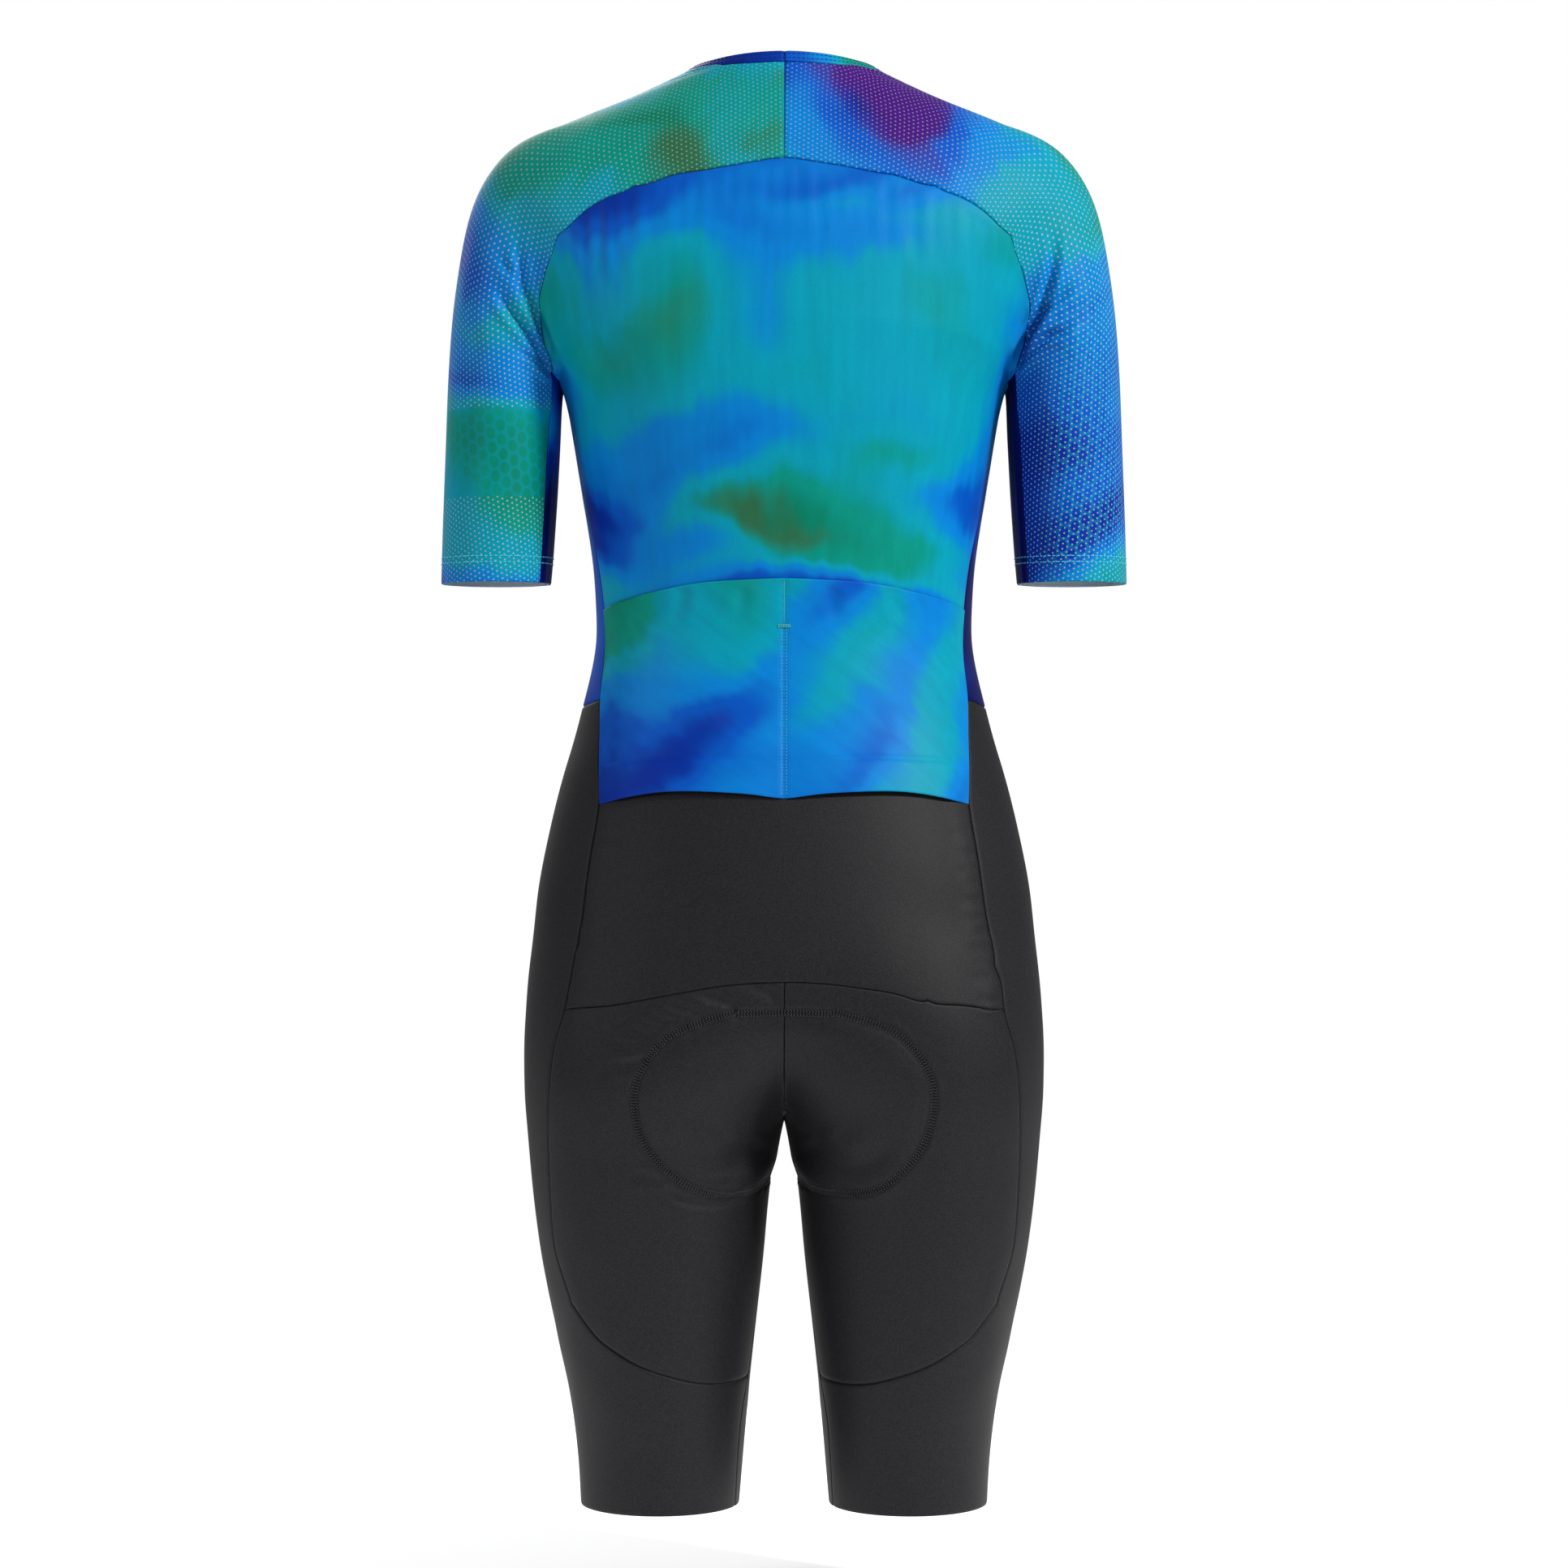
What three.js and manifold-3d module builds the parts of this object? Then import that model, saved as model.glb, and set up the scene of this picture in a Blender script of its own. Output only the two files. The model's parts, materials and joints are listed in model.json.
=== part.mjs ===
// A one-piece cycling suit with half sleeves and shorts, filled out as it is when worn, with no wearer.
// Every panel is a thin wall of cloth on one smooth body form, and panels share the points of the
// seam between them. Millimetres. +Z is up, +Y is the wearer's back and +X the wearer's left.
// The origin is on the mid-plane, level with the side of the neck, over the shoulders.

import * as THREE from 'three';
import { mergeVertices } from 'three/addons/utils/BufferGeometryUtils.js';
import Module from 'manifold-3d';

const wasm = await Module();
wasm.setup();

// ---- driving dimensions ----
const WALL = 1.2;             // knitted cloth
const SEAM_GAP = 0.3;         // between neighbouring pieces
const LAYER_GAP = 0.3;        // between a piece and what lies on it

const CROTCH = -664.6;
const HEM = -912;             // leg openings
const CUFF = -325;            // sleeve openings
const COLLAR_WIDTH = 8.6;     // neck band, from its seam to its rim
const POCKET_WALL = 1.0;
const POCKET_SWELL = 2.6;     // how far the empty pockets stand off the back
const POCKET_OVERHANG = 4;    // pocket bottoms hang over the waist seam
const PAD_EDGE = 1.4;         // thickness of the seat pad at its rim
const PAD_BODY = 2.6;         // and under its middle
const PAD_GAP = 1.8;          // between the pad and the inside of the seat
const PAD_FRONT_GAP = 4.4;    // the same in front of the fork, where the cloth curves more
const PAD_LOBE = 6;           // extra thickness under each sit bone

const ZIP_HALF_OPENING = 3.5; // the fronts' edges stand this far from the mid-plane
const ZIP_HALF_CHAIN = 2.8;
const ZIP_HALF_TAPE = 10;
const ZIP_TAPE = 1.0;
const ZIP_RISE = 1.9;         // the chain's height above its tape
const ZIP_TAPE_GAP = 0.7;     // between the tape and the inside of the fronts
const ZIP_END = -396;
const SLIDER_HEIGHT = -42;

// ---- the body form ----
// Level sections of the trunk and of one leg. Above the fork, inner = -outer and one oval is the whole
// trunk. Below it the oval is the left leg. join rounds the valley where the two legs meet.
const TRUNK = table(['z', 'inner', 'outer', 'back', 'front', 'square', 'join'], [
  [24, -30, 30, 36, 26, 2.0, 0],
  [13, -46, 46, 45, 34, 2.0, 0],
  [4, -59.5, 59.5, 50, 43, 2.0, 0],
  [-13, -95, 95, 58, 54, 2.0, 0],
  [-34, -147, 147, 68, 63, 2.0, 0],
  [-47, -174, 174, 75, 68, 2.05, 0],
  [-60, -186.5, 186.5, 80, 73, 2.1, 0],
  [-86, -197, 197, 88, 84, 2.15, 0],
  [-110, -186, 186, 94, 94, 2.2, 0],
  [-140, -169, 169, 97, 104, 2.25, 0],
  [-170, -156, 156, 98, 112, 2.3, 0],
  [-203, -140.6, 140.6, 96, 118, 2.3, 0],
  [-220, -137.6, 137.6, 94.5, 119, 2.3, 0],
  [-263, -130.5, 130.5, 87, 118, 2.25, 0],
  [-325, -121.7, 121.7, 74, 102, 2.2, 0],
  [-355, -120.6, 120.6, 70, 97, 2.2, 0],
  [-408, -130, 130, 76, 97, 2.2, 0],
  [-450, -142, 142, 88, 100, 2.2, 0],
  [-491, -151.8, 151.8, 100, 102, 2.25, 0],
  [-533, -157.8, 157.8, 110, 102, 2.3, 0],
  [-560, -126, 161.2, 114, 101, 2.35, 5],
  [-590, -78, 163.8, 116, 98, 2.4, 10],
  [-620, -38, 165.0, 115, 94, 2.4, 14],
  [-645, -12, 165.0, 111, 91, 2.35, 9],
  [-660, -0.5, 164.2, 107, 89, 2.3, 5],
  [-668, 3, 163.6, 105, 88.5, 2.3, 4],
  [-680, 5.6, 162.8, 102, 88, 2.25, 2],
  [-720, 9.9, 159.2, 95, 84, 2.2, 0],
  [-762, 14, 153.2, 89, 79, 2.15, 0],
  [-803, 18.7, 144.9, 83, 73, 2.1, 0],
  [-845, 22.9, 136.3, 76, 67, 2.05, 0],
  [-885, 26.4, 131.4, 70, 61, 2.0, 0],
  [-925, 29.2, 129.6, 67, 58, 2.0, 0],
]);

// Level sections of the left arm, from inside the shoulder down to the cuff.
const ARM = table(['z', 'inner', 'outer', 'back', 'front', 'square', 'join'], [
  [-52, 120, 178, 24, 24, 2, 3],
  [-70, 122, 191.5, 36, 36, 2, 6],
  [-90, 128, 199.5, 44, 44, 2, 9],
  [-115, 133, 206.5, 49, 50, 2.05, 13],
  [-150, 138.5, 211.8, 50, 54, 2.1, 15],
  [-185, 141.2, 214.6, 48, 55, 2.1, 8],
  [-205, 142.6, 215.7, 47, 54, 2.1, 3],
  [-216, 142.8, 216.1, 46, 54, 2.1, 1.5],
  [-263, 144.9, 217.8, 43, 51, 2.1, 0],
  [-304, 147.6, 219.2, 41, 49, 2.05, 0],
  [-335, 149.8, 219.8, 40, 48, 2.05, 0],
]);

// A table's columns as smooth curves over its first column, which falls from row to row.
function table(names, rows) {
  const keys = rows.map((row) => row[0]);
  const slopes = rows.map((row, r) => row.map((value, c) => slopeAt(rows, r, c)));
  return (key) => {
    const clamped = THREE.MathUtils.clamp(key, keys[keys.length - 1], keys[0]);
    let r = 0;
    while (r < keys.length - 2 && keys[r + 1] > clamped) r += 1;
    const width = keys[r + 1] - keys[r];
    const t = (clamped - keys[r]) / width;
    const row = {};
    names.forEach((name, c) => {
      row[name] = hermite(rows[r][c], rows[r + 1][c], slopes[r][c] * width, slopes[r + 1][c] * width, t);
    });
    return row;
  };
}

// A slope that never makes the curve overshoot its rows.
function slopeAt(rows, r, c) {
  if (r === 0 || r === rows.length - 1) return 0;
  const before = (rows[r][c] - rows[r - 1][c]) / (rows[r][0] - rows[r - 1][0]);
  const after = (rows[r + 1][c] - rows[r][c]) / (rows[r + 1][0] - rows[r][0]);
  return before * after <= 0 ? 0 : (2 * before * after) / (before + after);
}

function hermite(a, b, slopeA, slopeB, t) {
  const t2 = t * t;
  const t3 = t2 * t;
  return a * (2 * t3 - 3 * t2 + 1) + slopeA * (t3 - 2 * t2 + t) + b * (3 * t2 - 2 * t3) + slopeB * (t3 - t2);
}

// How far a level point lies outside a section's oval, measured from the oval's centre.
function outside(x, y, section) {
  const dx = x - (section.inner + section.outer) / 2;
  const dy = y - (section.back - section.front) / 2;
  const halfX = (section.outer - section.inner) / 2;
  const halfY = (section.back + section.front) / 2;
  const n = section.square;
  const reach = ((Math.abs(dx) / halfX) ** n + (Math.abs(dy) / halfY) ** n) ** (1 / n);
  const distance = Math.hypot(dx, dy);
  return distance - distance / Math.max(reach, 1e-9);
}

function softMin(a, b, round) {
  if (round <= 0) return Math.min(a, b);
  const h = Math.max(round - Math.abs(a - b), 0) / round;
  return Math.min(a, b) - (h * h * round) / 4;
}

// Negative inside the body form, positive outside.
function form(p) {
  const trunk = TRUNK(p.z);
  let value = softMin(outside(p.x, p.y, trunk), outside(-p.x, p.y, trunk), trunk.join);
  if (p.z < -52 && p.z > -340) {
    const arm = ARM(p.z);
    value = softMin(value, outside(Math.abs(p.x), p.y, arm), arm.join);
  }
  return value;
}

// Taken over a step wide enough to be steady in the creases under the arm and the fork.
const NORMAL_STEP = 6;

function outward(p) {
  const slope = (axis) => {
    const ahead = p.clone();
    const behind = p.clone();
    ahead[axis] += NORMAL_STEP;
    behind[axis] -= NORMAL_STEP;
    return form(ahead) - form(behind);
  };
  return new THREE.Vector3(slope('x'), slope('y'), slope('z')).normalize();
}

// The first point of the form met on the way out from a point inside it. own is the one tube of the
// form that the point should lie on: a ray that runs on into its neighbour is brought back.
const NEIGHBOUR_REACH = 14;

function surface(from, direction, own = undefined) {
  const at = (distance) => from.clone().addScaledVector(direction, distance);
  const step = 1.5;
  let far = step;
  let left = 0;
  while (form(at(far)) < 0 && far < 400) {
    if (own && left === 0 && own(at(far)) > 0) left = far;
    if (left > 0 && far > left + NEIGHBOUR_REACH) return settle(at(left));
    far += step;
  }
  let near = far - step;
  for (let i = 0; i < 24; i += 1) {
    const middle = (near + far) / 2;
    if (form(at(middle)) < 0) near = middle;
    else far = middle;
  }
  return at((near + far) / 2);
}

// Moves a point that is close to the form onto it.
function settle(point) {
  const p = point.clone();
  for (let i = 0; i < 12; i += 1) {
    const normal = outward(p);
    const gap = form(p);
    const ahead = form(p.clone().addScaledVector(normal, 0.5));
    const slope = Math.max((ahead - gap) / 0.5, 0.2);
    p.addScaledVector(normal, THREE.MathUtils.clamp(-gap / slope, -4, 4));
  }
  return p;
}

const vec = (x, y, z) => new THREE.Vector3(x, y, z);
const rad = THREE.MathUtils.degToRad;
const deg = THREE.MathUtils.radToDeg;

// ---- three ways to name a point on the form ----
// Level rays from an upright axis: turn is 0 at the back, 90 on the wearer's left, 180 at the front.
function levelChart(axisX) {
  const own = (p) => outside(p.x, p.y, TRUNK(p.z));
  return {
    place: (turn, z) => surface(vec(axisX, 0, z), vec(Math.sin(rad(turn)), Math.cos(rad(turn)), 0), own),
    read: (p, near) => [unwrap(deg(Math.atan2(p.x - axisX, p.y)), near), p.z],
  };
}

const trunkChart = levelChart(0);
const legChart = levelChart(80);

// Rays from a spine that runs out along the shoulder and bends down the arm. along is the length
// on the spine, turn is 0 at its outer side, 90 at the back, -90 at the front and 180 underneath.
const SPINE = { bendX: 95, bendZ: -190, radius: 85 };
const SPINE_BENT = SPINE.bendX + (SPINE.radius * Math.PI) / 2;

const sleeveChart = {
  place: (turn, along) => {
    const angle = THREE.MathUtils.clamp((along - SPINE.bendX) / SPINE.radius, 0, Math.PI / 2);
    const outX = Math.sin(angle);
    const outZ = Math.cos(angle);
    const x = Math.min(along, SPINE.bendX) + SPINE.radius * outX;
    const z = SPINE.bendZ + SPINE.radius * outZ - Math.max(along - SPINE_BENT, 0);
    const side = Math.cos(rad(turn));
    const own = along > SPINE_BENT ? (p) => outside(p.x, p.y, ARM(p.z)) : undefined;
    return surface(vec(x, 0, z), vec(outX * side, Math.sin(rad(turn)), outZ * side), own);
  },
  read: (p, near) => {
    const dx = p.x - SPINE.bendX;
    const dz = p.z - SPINE.bendZ;
    if (dz <= 0) return [unwrap(deg(Math.atan2(p.y, dx - SPINE.radius)), near), SPINE_BENT - dz];
    if (dx <= 0) return [deg(Math.atan2(p.y, dz - SPINE.radius)), p.x];
    const angle = Math.atan2(dx, dz);
    const reach = Math.hypot(dx, dz) - SPINE.radius;
    return [unwrap(deg(Math.atan2(p.y, reach)), near), SPINE.bendX + SPINE.radius * angle];
  },
};

function unwrap(angle, near) {
  return angle + 360 * Math.round((near - angle) / 360);
}

// ---- seams ----
// A seam is a list of points on the form, evenly spaced along it.
function evenly(points, pieces) {
  const lengths = [0];
  points.forEach((p, i) => {
    if (i > 0) lengths.push(lengths[i - 1] + p.distanceTo(points[i - 1]));
  });
  const total = lengths[lengths.length - 1];
  const spaced = [];
  let i = 0;
  for (let k = 0; k <= pieces; k += 1) {
    const goal = (total * k) / pieces;
    while (i < points.length - 2 && lengths[i + 1] < goal) i += 1;
    const t = (goal - lengths[i]) / (lengths[i + 1] - lengths[i]);
    spaced.push(points[i].clone().lerp(points[i + 1], t));
  }
  return spaced;
}

const SEAM_SAMPLES = 48;

// way(t) gives the seam's point for t from 0 to 1.
function seam(way, pieces) {
  const points = [];
  for (let i = 0; i <= SEAM_SAMPLES; i += 1) points.push(way(i / SEAM_SAMPLES));
  return evenly(points, pieces).map(settle);
}

// A smooth path through a few rows of two columns, as a function of t.
function path(rows) {
  const curve = new THREE.CatmullRomCurve3(rows.map(([a, b]) => vec(a, b, 0)), false, 'centripetal');
  return (t) => {
    const p = curve.getPoint(t);
    return [p.x, p.y];
  };
}

// Seams drawn by turn and height.
function levelSeam(chart, rows, pieces) {
  const at = path(rows);
  return seam((t) => chart.place(...at(t)), pieces);
}

// Seams drawn as seen from straight behind (side 1) or in front (side -1), by x and z.
function drawnSeam(side, rows, pieces) {
  const at = path(rows);
  return seam((t) => {
    const [x, z] = at(t);
    return surface(vec(x, side * 8, z), vec(0, side, 0));
  }, pieces);
}

const joined = (...lists) => lists.reduce((all, list) => all.concat(all.length ? list.slice(1) : list), []);
const reversed = (list) => [...list].reverse();
const mirrored = (list) => list.map((p) => vec(-p.x, p.y, p.z));
const last = (list) => list[list.length - 1];

// Counts of wall facets along the shared seams.
const COUNT = {
  archTop: 8, archSide: 4, armholeEnd: 1, armholeLow: 3, sideTop: 6, sidePocket: 3, sideBlack: 3,
  lowerBack: 5, underarm: 7, centreYoke: 3, neckBack: 7, neckFront: 3, frontBottom: 8,
  centreSeat: 5, inseamTop: 4, thighEnd: 8, lowerLeg: 5,
};

// Neck seam: nearly level round the back, dropping at the front.
const NECK = table(['turn', 'z'], [
  [180, -33], [150, -27], [128, -14], [105, -2], [85, 2], [60, 1.4], [30, 1.9], [0, 2.2],
]);
const RAGLAN_NECK_TURN = 128;
const neckPoint = (turn) => trunkChart.place(turn, NECK(turn).z);
const zipPoint = (z) => surface(vec(ZIP_HALF_OPENING, -8, z), vec(0, -1, 0));

const neckBack = seam((t) => neckPoint(t * RAGLAN_NECK_TURN), COUNT.neckBack);
const neckFront = seam((t) => neckPoint(THREE.MathUtils.lerp(RAGLAN_NECK_TURN, 176, t)), COUNT.neckFront);
neckFront[0] = last(neckBack);
neckFront[COUNT.neckFront] = zipPoint(NECK(180).z);

// Raglan seams: an arch across the back, and a plainer slant at the front, down to the armhole.
const BACK_ARCH = [[0, -62], [30, -66.5], [59, -71.5], [101, -82], [123, -94], [140.4, -110.5]];
const BACK_ARCH_SIDE = [[140.4, -110.5], [149, -127], [154, -143.5], [154.8, -158], [151.5, -174], [146, -192]];
const FRONT_SLANT = [[80, -44], [112, -76], [138, -112]];
const FRONT_SLANT_SIDE = [[138, -112], [147, -132], [151, -150], [151.5, -163], [149.5, -176], [146, -192]];

const archTop = drawnSeam(1, BACK_ARCH, COUNT.archTop);
const archSide = drawnSeam(1, BACK_ARCH_SIDE, COUNT.archSide);
const slantStart = last(neckBack);
const slantTop = drawnSeam(-1, [[slantStart.x, slantStart.z], ...FRONT_SLANT], COUNT.archTop);
slantTop[0] = slantStart;
const slantSide = drawnSeam(-1, FRONT_SLANT_SIDE, COUNT.archSide);

// The low part of the armhole, under the arm, from the back corner to the front corner.
const cornerBack = last(archSide);
const cornerFront = last(slantSide);
const ARMHOLE_CENTRE = -150;
const ARMHOLE_LOW_X = 141.4;
function armholePoint(share) {
  const from = Math.atan2(cornerBack.y, ARMHOLE_CENTRE - cornerBack.z);
  const to = Math.atan2(cornerFront.y, ARMHOLE_CENTRE - cornerFront.z);
  const turn = THREE.MathUtils.lerp(from, to, share);
  const lean = (share * 2 - 1) ** 2;
  const x = THREE.MathUtils.lerp(ARMHOLE_LOW_X, cornerBack.x, lean);
  return surface(vec(x, 0, ARMHOLE_CENTRE), vec(0, Math.sin(turn), -Math.cos(turn)));
}
const armhole = seam(armholePoint, COUNT.armholeEnd * 2 + COUNT.armholeLow);
armhole[0] = cornerBack;
armhole[armhole.length - 1] = cornerFront;
const armholeBack = armhole.slice(0, COUNT.armholeEnd + 1);
const armholeUnder = armhole.slice(COUNT.armholeEnd, COUNT.armholeEnd + COUNT.armholeLow + 1);
const armholeFront = armhole.slice(COUNT.armholeEnd + COUNT.armholeLow);

// Underarm seams, down the inner sleeve.
const UNDERARM_TURN = 141;
function underarmSeam(corner, side) {
  const [turn, along] = sleeveChart.read(corner, side * UNDERARM_TURN);
  const end = SPINE_BENT + SPINE.bendZ - CUFF;
  const line = seam((t) => sleeveChart.place(
    THREE.MathUtils.lerp(turn, side * UNDERARM_TURN, Math.min(t * 3, 1)),
    THREE.MathUtils.lerp(along, end, t),
  ), COUNT.underarm);
  line[0] = corner;
  return line;
}
const underarmBack = underarmSeam(cornerBack, 1);
const underarmFront = underarmSeam(cornerFront, -1);

// Side seams of the coloured top, then the edge between the back and the black side.
const POCKET_CORNER = [81.5, -342];
const SIDE_WAIST = [76.2, -398.5];
const SIDE_FRONT_WAIST = [110, -405];
const BACK_CORNER = [63, -462];
const SEAT_CORNER = [57.2, -593];
const sideTop = seam(sidePath(armholeBack, [POCKET_CORNER, [83.5, -310], [86, -287], [89, -262], [89, -230]]), COUNT.sideTop);
const sidePocket = levelSeam(trunkChart, [POCKET_CORNER, [80.2, -364], SIDE_WAIST], COUNT.sidePocket);
const sideBlack = levelSeam(trunkChart, [SIDE_WAIST, [72.4, -418], BACK_CORNER], COUNT.sideBlack);
const sideLower = levelSeam(trunkChart, [BACK_CORNER, [60, -502], [58.2, -545], SEAT_CORNER], COUNT.lowerBack);
sidePocket[0] = last(sideTop);
sideBlack[0] = last(sidePocket);
sideLower[0] = last(sideBlack);
const sideFront = seam(
  sidePath(armholeFront.slice(0, 1), [SIDE_FRONT_WAIST, [104, -345], [100, -300], [95, -250], [92, -226]]),
  COUNT.sideTop + COUNT.sidePocket,
);

// A side seam from the armhole down to the first row of its list.
function sidePath(start, rows) {
  const [turn, z] = trunkChart.read(last(start), 90);
  const at = path([...rows, [turn, z]].reverse());
  return (t) => (t === 0 ? last(start) : trunkChart.place(...at(t)));
}

// Level seams: under the pockets' mouths, the waist seams, and the top of the seat.
const MOUTH = [[0, -324], [22, -325], [40, -327], [54, -331], [68, -336], POCKET_CORNER];
const WAIST_BACK = [[0, -458.5], [23, -455.5], [44, -455.5], BACK_CORNER];
const SEAT_TOP = [[0, -575], [17, -577], [33, -583.5], [46, -590], SEAT_CORNER];
const pocketMouthHalf = levelSeam(trunkChart, MOUTH, COUNT.archTop);
const waistBackHalf = levelSeam(trunkChart, WAIST_BACK, COUNT.archTop);
const seatTop = levelSeam(trunkChart, SEAT_TOP, COUNT.archTop);
pocketMouthHalf[COUNT.archTop] = last(sideTop);
waistBackHalf[COUNT.archTop] = last(sideBlack);
seatTop[COUNT.archTop] = last(sideLower);
const waistSide = levelSeam(trunkChart, [SIDE_WAIST, [87, -402.5], SIDE_FRONT_WAIST], COUNT.armholeLow);
waistSide[0] = last(sidePocket);
waistSide[COUNT.armholeLow] = last(sideFront);
const waistFront = levelSeam(trunkChart, [SIDE_FRONT_WAIST, [145, -402], [180, -399]], COUNT.frontBottom);
waistFront[0] = last(sideFront);

// Centre seams of the shorts, round under the fork.
const FORK_CENTRE = -600;
const forkPoint = (angle) => surface(vec(0, 0, FORK_CENTRE), vec(0, Math.cos(rad(angle)), Math.sin(rad(angle))));
const forkAngle = (p) => deg(Math.atan2(p.z - FORK_CENTRE, p.y));
const seatAngle = forkAngle(seatTop[0]);
const centreSeat = seam((t) => forkPoint(THREE.MathUtils.lerp(seatAngle, -90, t)), COUNT.centreSeat);
centreSeat[0] = seatTop[0];
const FRONT_FORK_ROWS = 6;
const centreFork = seam((t) => forkPoint(THREE.MathUtils.lerp(-180, -90, t)), FRONT_FORK_ROWS);
const FRONT_RISE_ROWS = 7;
const centreRise = seam((t) => trunkChart.place(180, THREE.MathUtils.lerp(last(waistFront).z, FORK_CENTRE, t)), FRONT_RISE_ROWS);
const fork = last(centreSeat);
centreRise[0] = last(waistFront);
centreFork[0] = last(centreRise);
centreFork[FRONT_FORK_ROWS] = fork;

// Inner-leg seam and the curved thigh seam that ends on it.
const THIGH_CORNER = [41, -779];
const THIGH_END = [-68, -829.5];
const inseamTop = levelSeam(legChart, [[-90, CROTCH], [-85, -720], [-77, -780], THIGH_END], COUNT.inseamTop);
inseamTop[0] = fork;
const thighSide = levelSeam(legChart, [
  [32.4, -593], [35.6, -608], [38, -626], [41, -652], [44.8, -682], [47.5, -715], [48.6, -744], THIGH_CORNER,
], COUNT.centreSeat + COUNT.inseamTop);
thighSide[0] = last(sideLower);
const thighUnder = levelSeam(legChart, [
  THIGH_CORNER, [33.5, -791], [22.5, -804], [7, -816.5], [-8, -824], [-23.5, -829], [-41, -830], THIGH_END,
], COUNT.thighEnd);
thighUnder[0] = last(thighSide);
thighUnder[COUNT.thighEnd] = last(inseamTop);
const inseamLow = levelSeam(legChart, [THIGH_END, [-61, -850], [-61, -880], [-64, HEM]], COUNT.lowerLeg);
inseamLow[0] = last(inseamTop);

// Where the leg piece starts to go all round, from the thigh seam's corner round the front.
const KNEE_ROW = [THIGH_CORNER, [110, -788], [190, -808], [THIGH_END[0] + 360, THIGH_END[1]]];

// ---- walls ----
// A grid of points between four seams: rows run from top to bottom, columns from left to right.
function grid(top, bottom, left, right, chart, near) {
  const t = readAlong(top, chart, near);
  const l = readAlong(left, chart, near);
  const b = readAlong(bottom, chart, last(l).x);
  const r = readAlong(right, chart, last(t).x);
  const rows = left.length - 1;
  const columns = top.length - 1;
  const points = [];
  for (let j = 0; j <= rows; j += 1) {
    for (let i = 0; i <= columns; i += 1) {
      points.push(edgePoint(i, j, columns, rows, top, bottom, left, right) ?? inner(i, j));
    }
  }
  const isMirrored = left[0].x > 1 && Math.abs(left[0].x + right[0].x) < 1e-6 && columns % 2 === 0;
  return { points, faces: gridFaces(columns, rows, isMirrored), columns, rows };

  function inner(i, j) {
    const u = i / columns;
    const v = j / rows;
    const mix = (pick) => (1 - v) * t[i][pick] + v * b[i][pick] + (1 - u) * l[j][pick] + u * r[j][pick]
      - (1 - u) * (1 - v) * t[0][pick] - u * (1 - v) * t[columns][pick]
      - (1 - u) * v * b[0][pick] - u * v * b[columns][pick];
    return chart.place(mix('x'), mix('y'));
  }
}

// A seam's points by the chart's two measures, with no jump of a full turn between neighbours.
function readAlong(list, chart, near) {
  let turn = near;
  return list.map((p) => {
    const [next, y] = chart.read(p, turn);
    turn = next;
    return { x: next, y };
  });
}

function edgePoint(i, j, columns, rows, top, bottom, left, right) {
  if (j === 0) return top[i];
  if (j === rows) return bottom[i];
  if (i === 0) return left[j];
  return i === columns ? right[j] : undefined;
}

// The faces of a grid. A mirrored grid has its second half split the other way, so that both
// halves are alike.
function gridFaces(columns, rows, isMirrored = false) {
  const faces = [];
  const width = columns + 1;
  for (let j = 0; j < rows; j += 1) {
    for (let i = 0; i < columns; i += 1) {
      const a = j * width + i;
      const turned = isMirrored && i >= columns / 2;
      faces.push(turned ? [a + width, a + width + 1, a + 1, a] : [a, a + width, a + width + 1, a + 1]);
    }
  }
  return faces;
}

// Two grids in one, the second going on from the first's last row.
function stacked(first, second) {
  const shared = first.rows * (first.columns + 1);
  const points = first.points.concat(second.points.slice(first.columns + 1));
  const faces = first.faces.concat(second.faces.map((face) => face.map((i) => i + shared)));
  return { points, faces, columns: first.columns, rows: first.rows + second.rows };
}

// A closed wall on a net of points. Its edges draw back by half a seam gap, and it reaches from
// lift above the form's surface (a number, or one for each point) down by its thickness.
function wall(net, thickness, lift = 0) {
  const normals = net.points.map(outward);
  const faces = facingOut(net, normals);
  const rims = rimEdges(faces);
  const drawn = drawBack(net.points, normals, rims);
  const high = (i) => (Array.isArray(lift) ? lift[i] : lift);
  const thick = (i) => (Array.isArray(thickness) ? thickness[i] : thickness);
  const outer = drawn.map((p, i) => p.clone().addScaledVector(normals[i], high(i)));
  const inside = drawn.map((p, i) => p.clone().addScaledVector(normals[i], high(i) - thick(i)));
  const count = outer.length;
  const quads = [];
  faces.forEach((face) => {
    quads.push(face);
    quads.push(flipped(face).map((i) => i + count));
  });
  rims.forEach(([a, b]) => {
    const fromB = splitRank(outer[b]) > splitRank(outer[a]);
    quads.push(fromB ? [b, a, a + count, b + count] : [a, a + count, b + count, b]);
  });
  return solid(outer.concat(inside), quads);
}

// Two pieces that share a seam split its small side faces along the same diagonal.
function splitRank(p) {
  return p.z + 0.13 * Math.abs(p.x) + 0.07 * p.y;
}

function facingOut(net, normals) {
  let sum = 0;
  net.faces.forEach(([a, b, c]) => {
    const cross = net.points[b].clone().sub(net.points[a]).cross(net.points[c].clone().sub(net.points[a]));
    sum += cross.dot(normals[a]);
  });
  return sum > 0 ? net.faces : net.faces.map(flipped);
}

// The same face seen from its other side, split along the same diagonal.
function flipped([first, ...rest]) {
  return [first, ...rest.reverse()];
}

// Directed edges that only one face uses.
function rimEdges(faces) {
  const edges = new Map();
  faces.forEach((face) => face.forEach((a, i) => {
    const b = face[(i + 1) % face.length];
    if (edges.has(`${b},${a}`)) edges.delete(`${b},${a}`);
    else edges.set(`${a},${b}`, [a, b]);
  }));
  return [...edges.values()];
}

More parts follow.
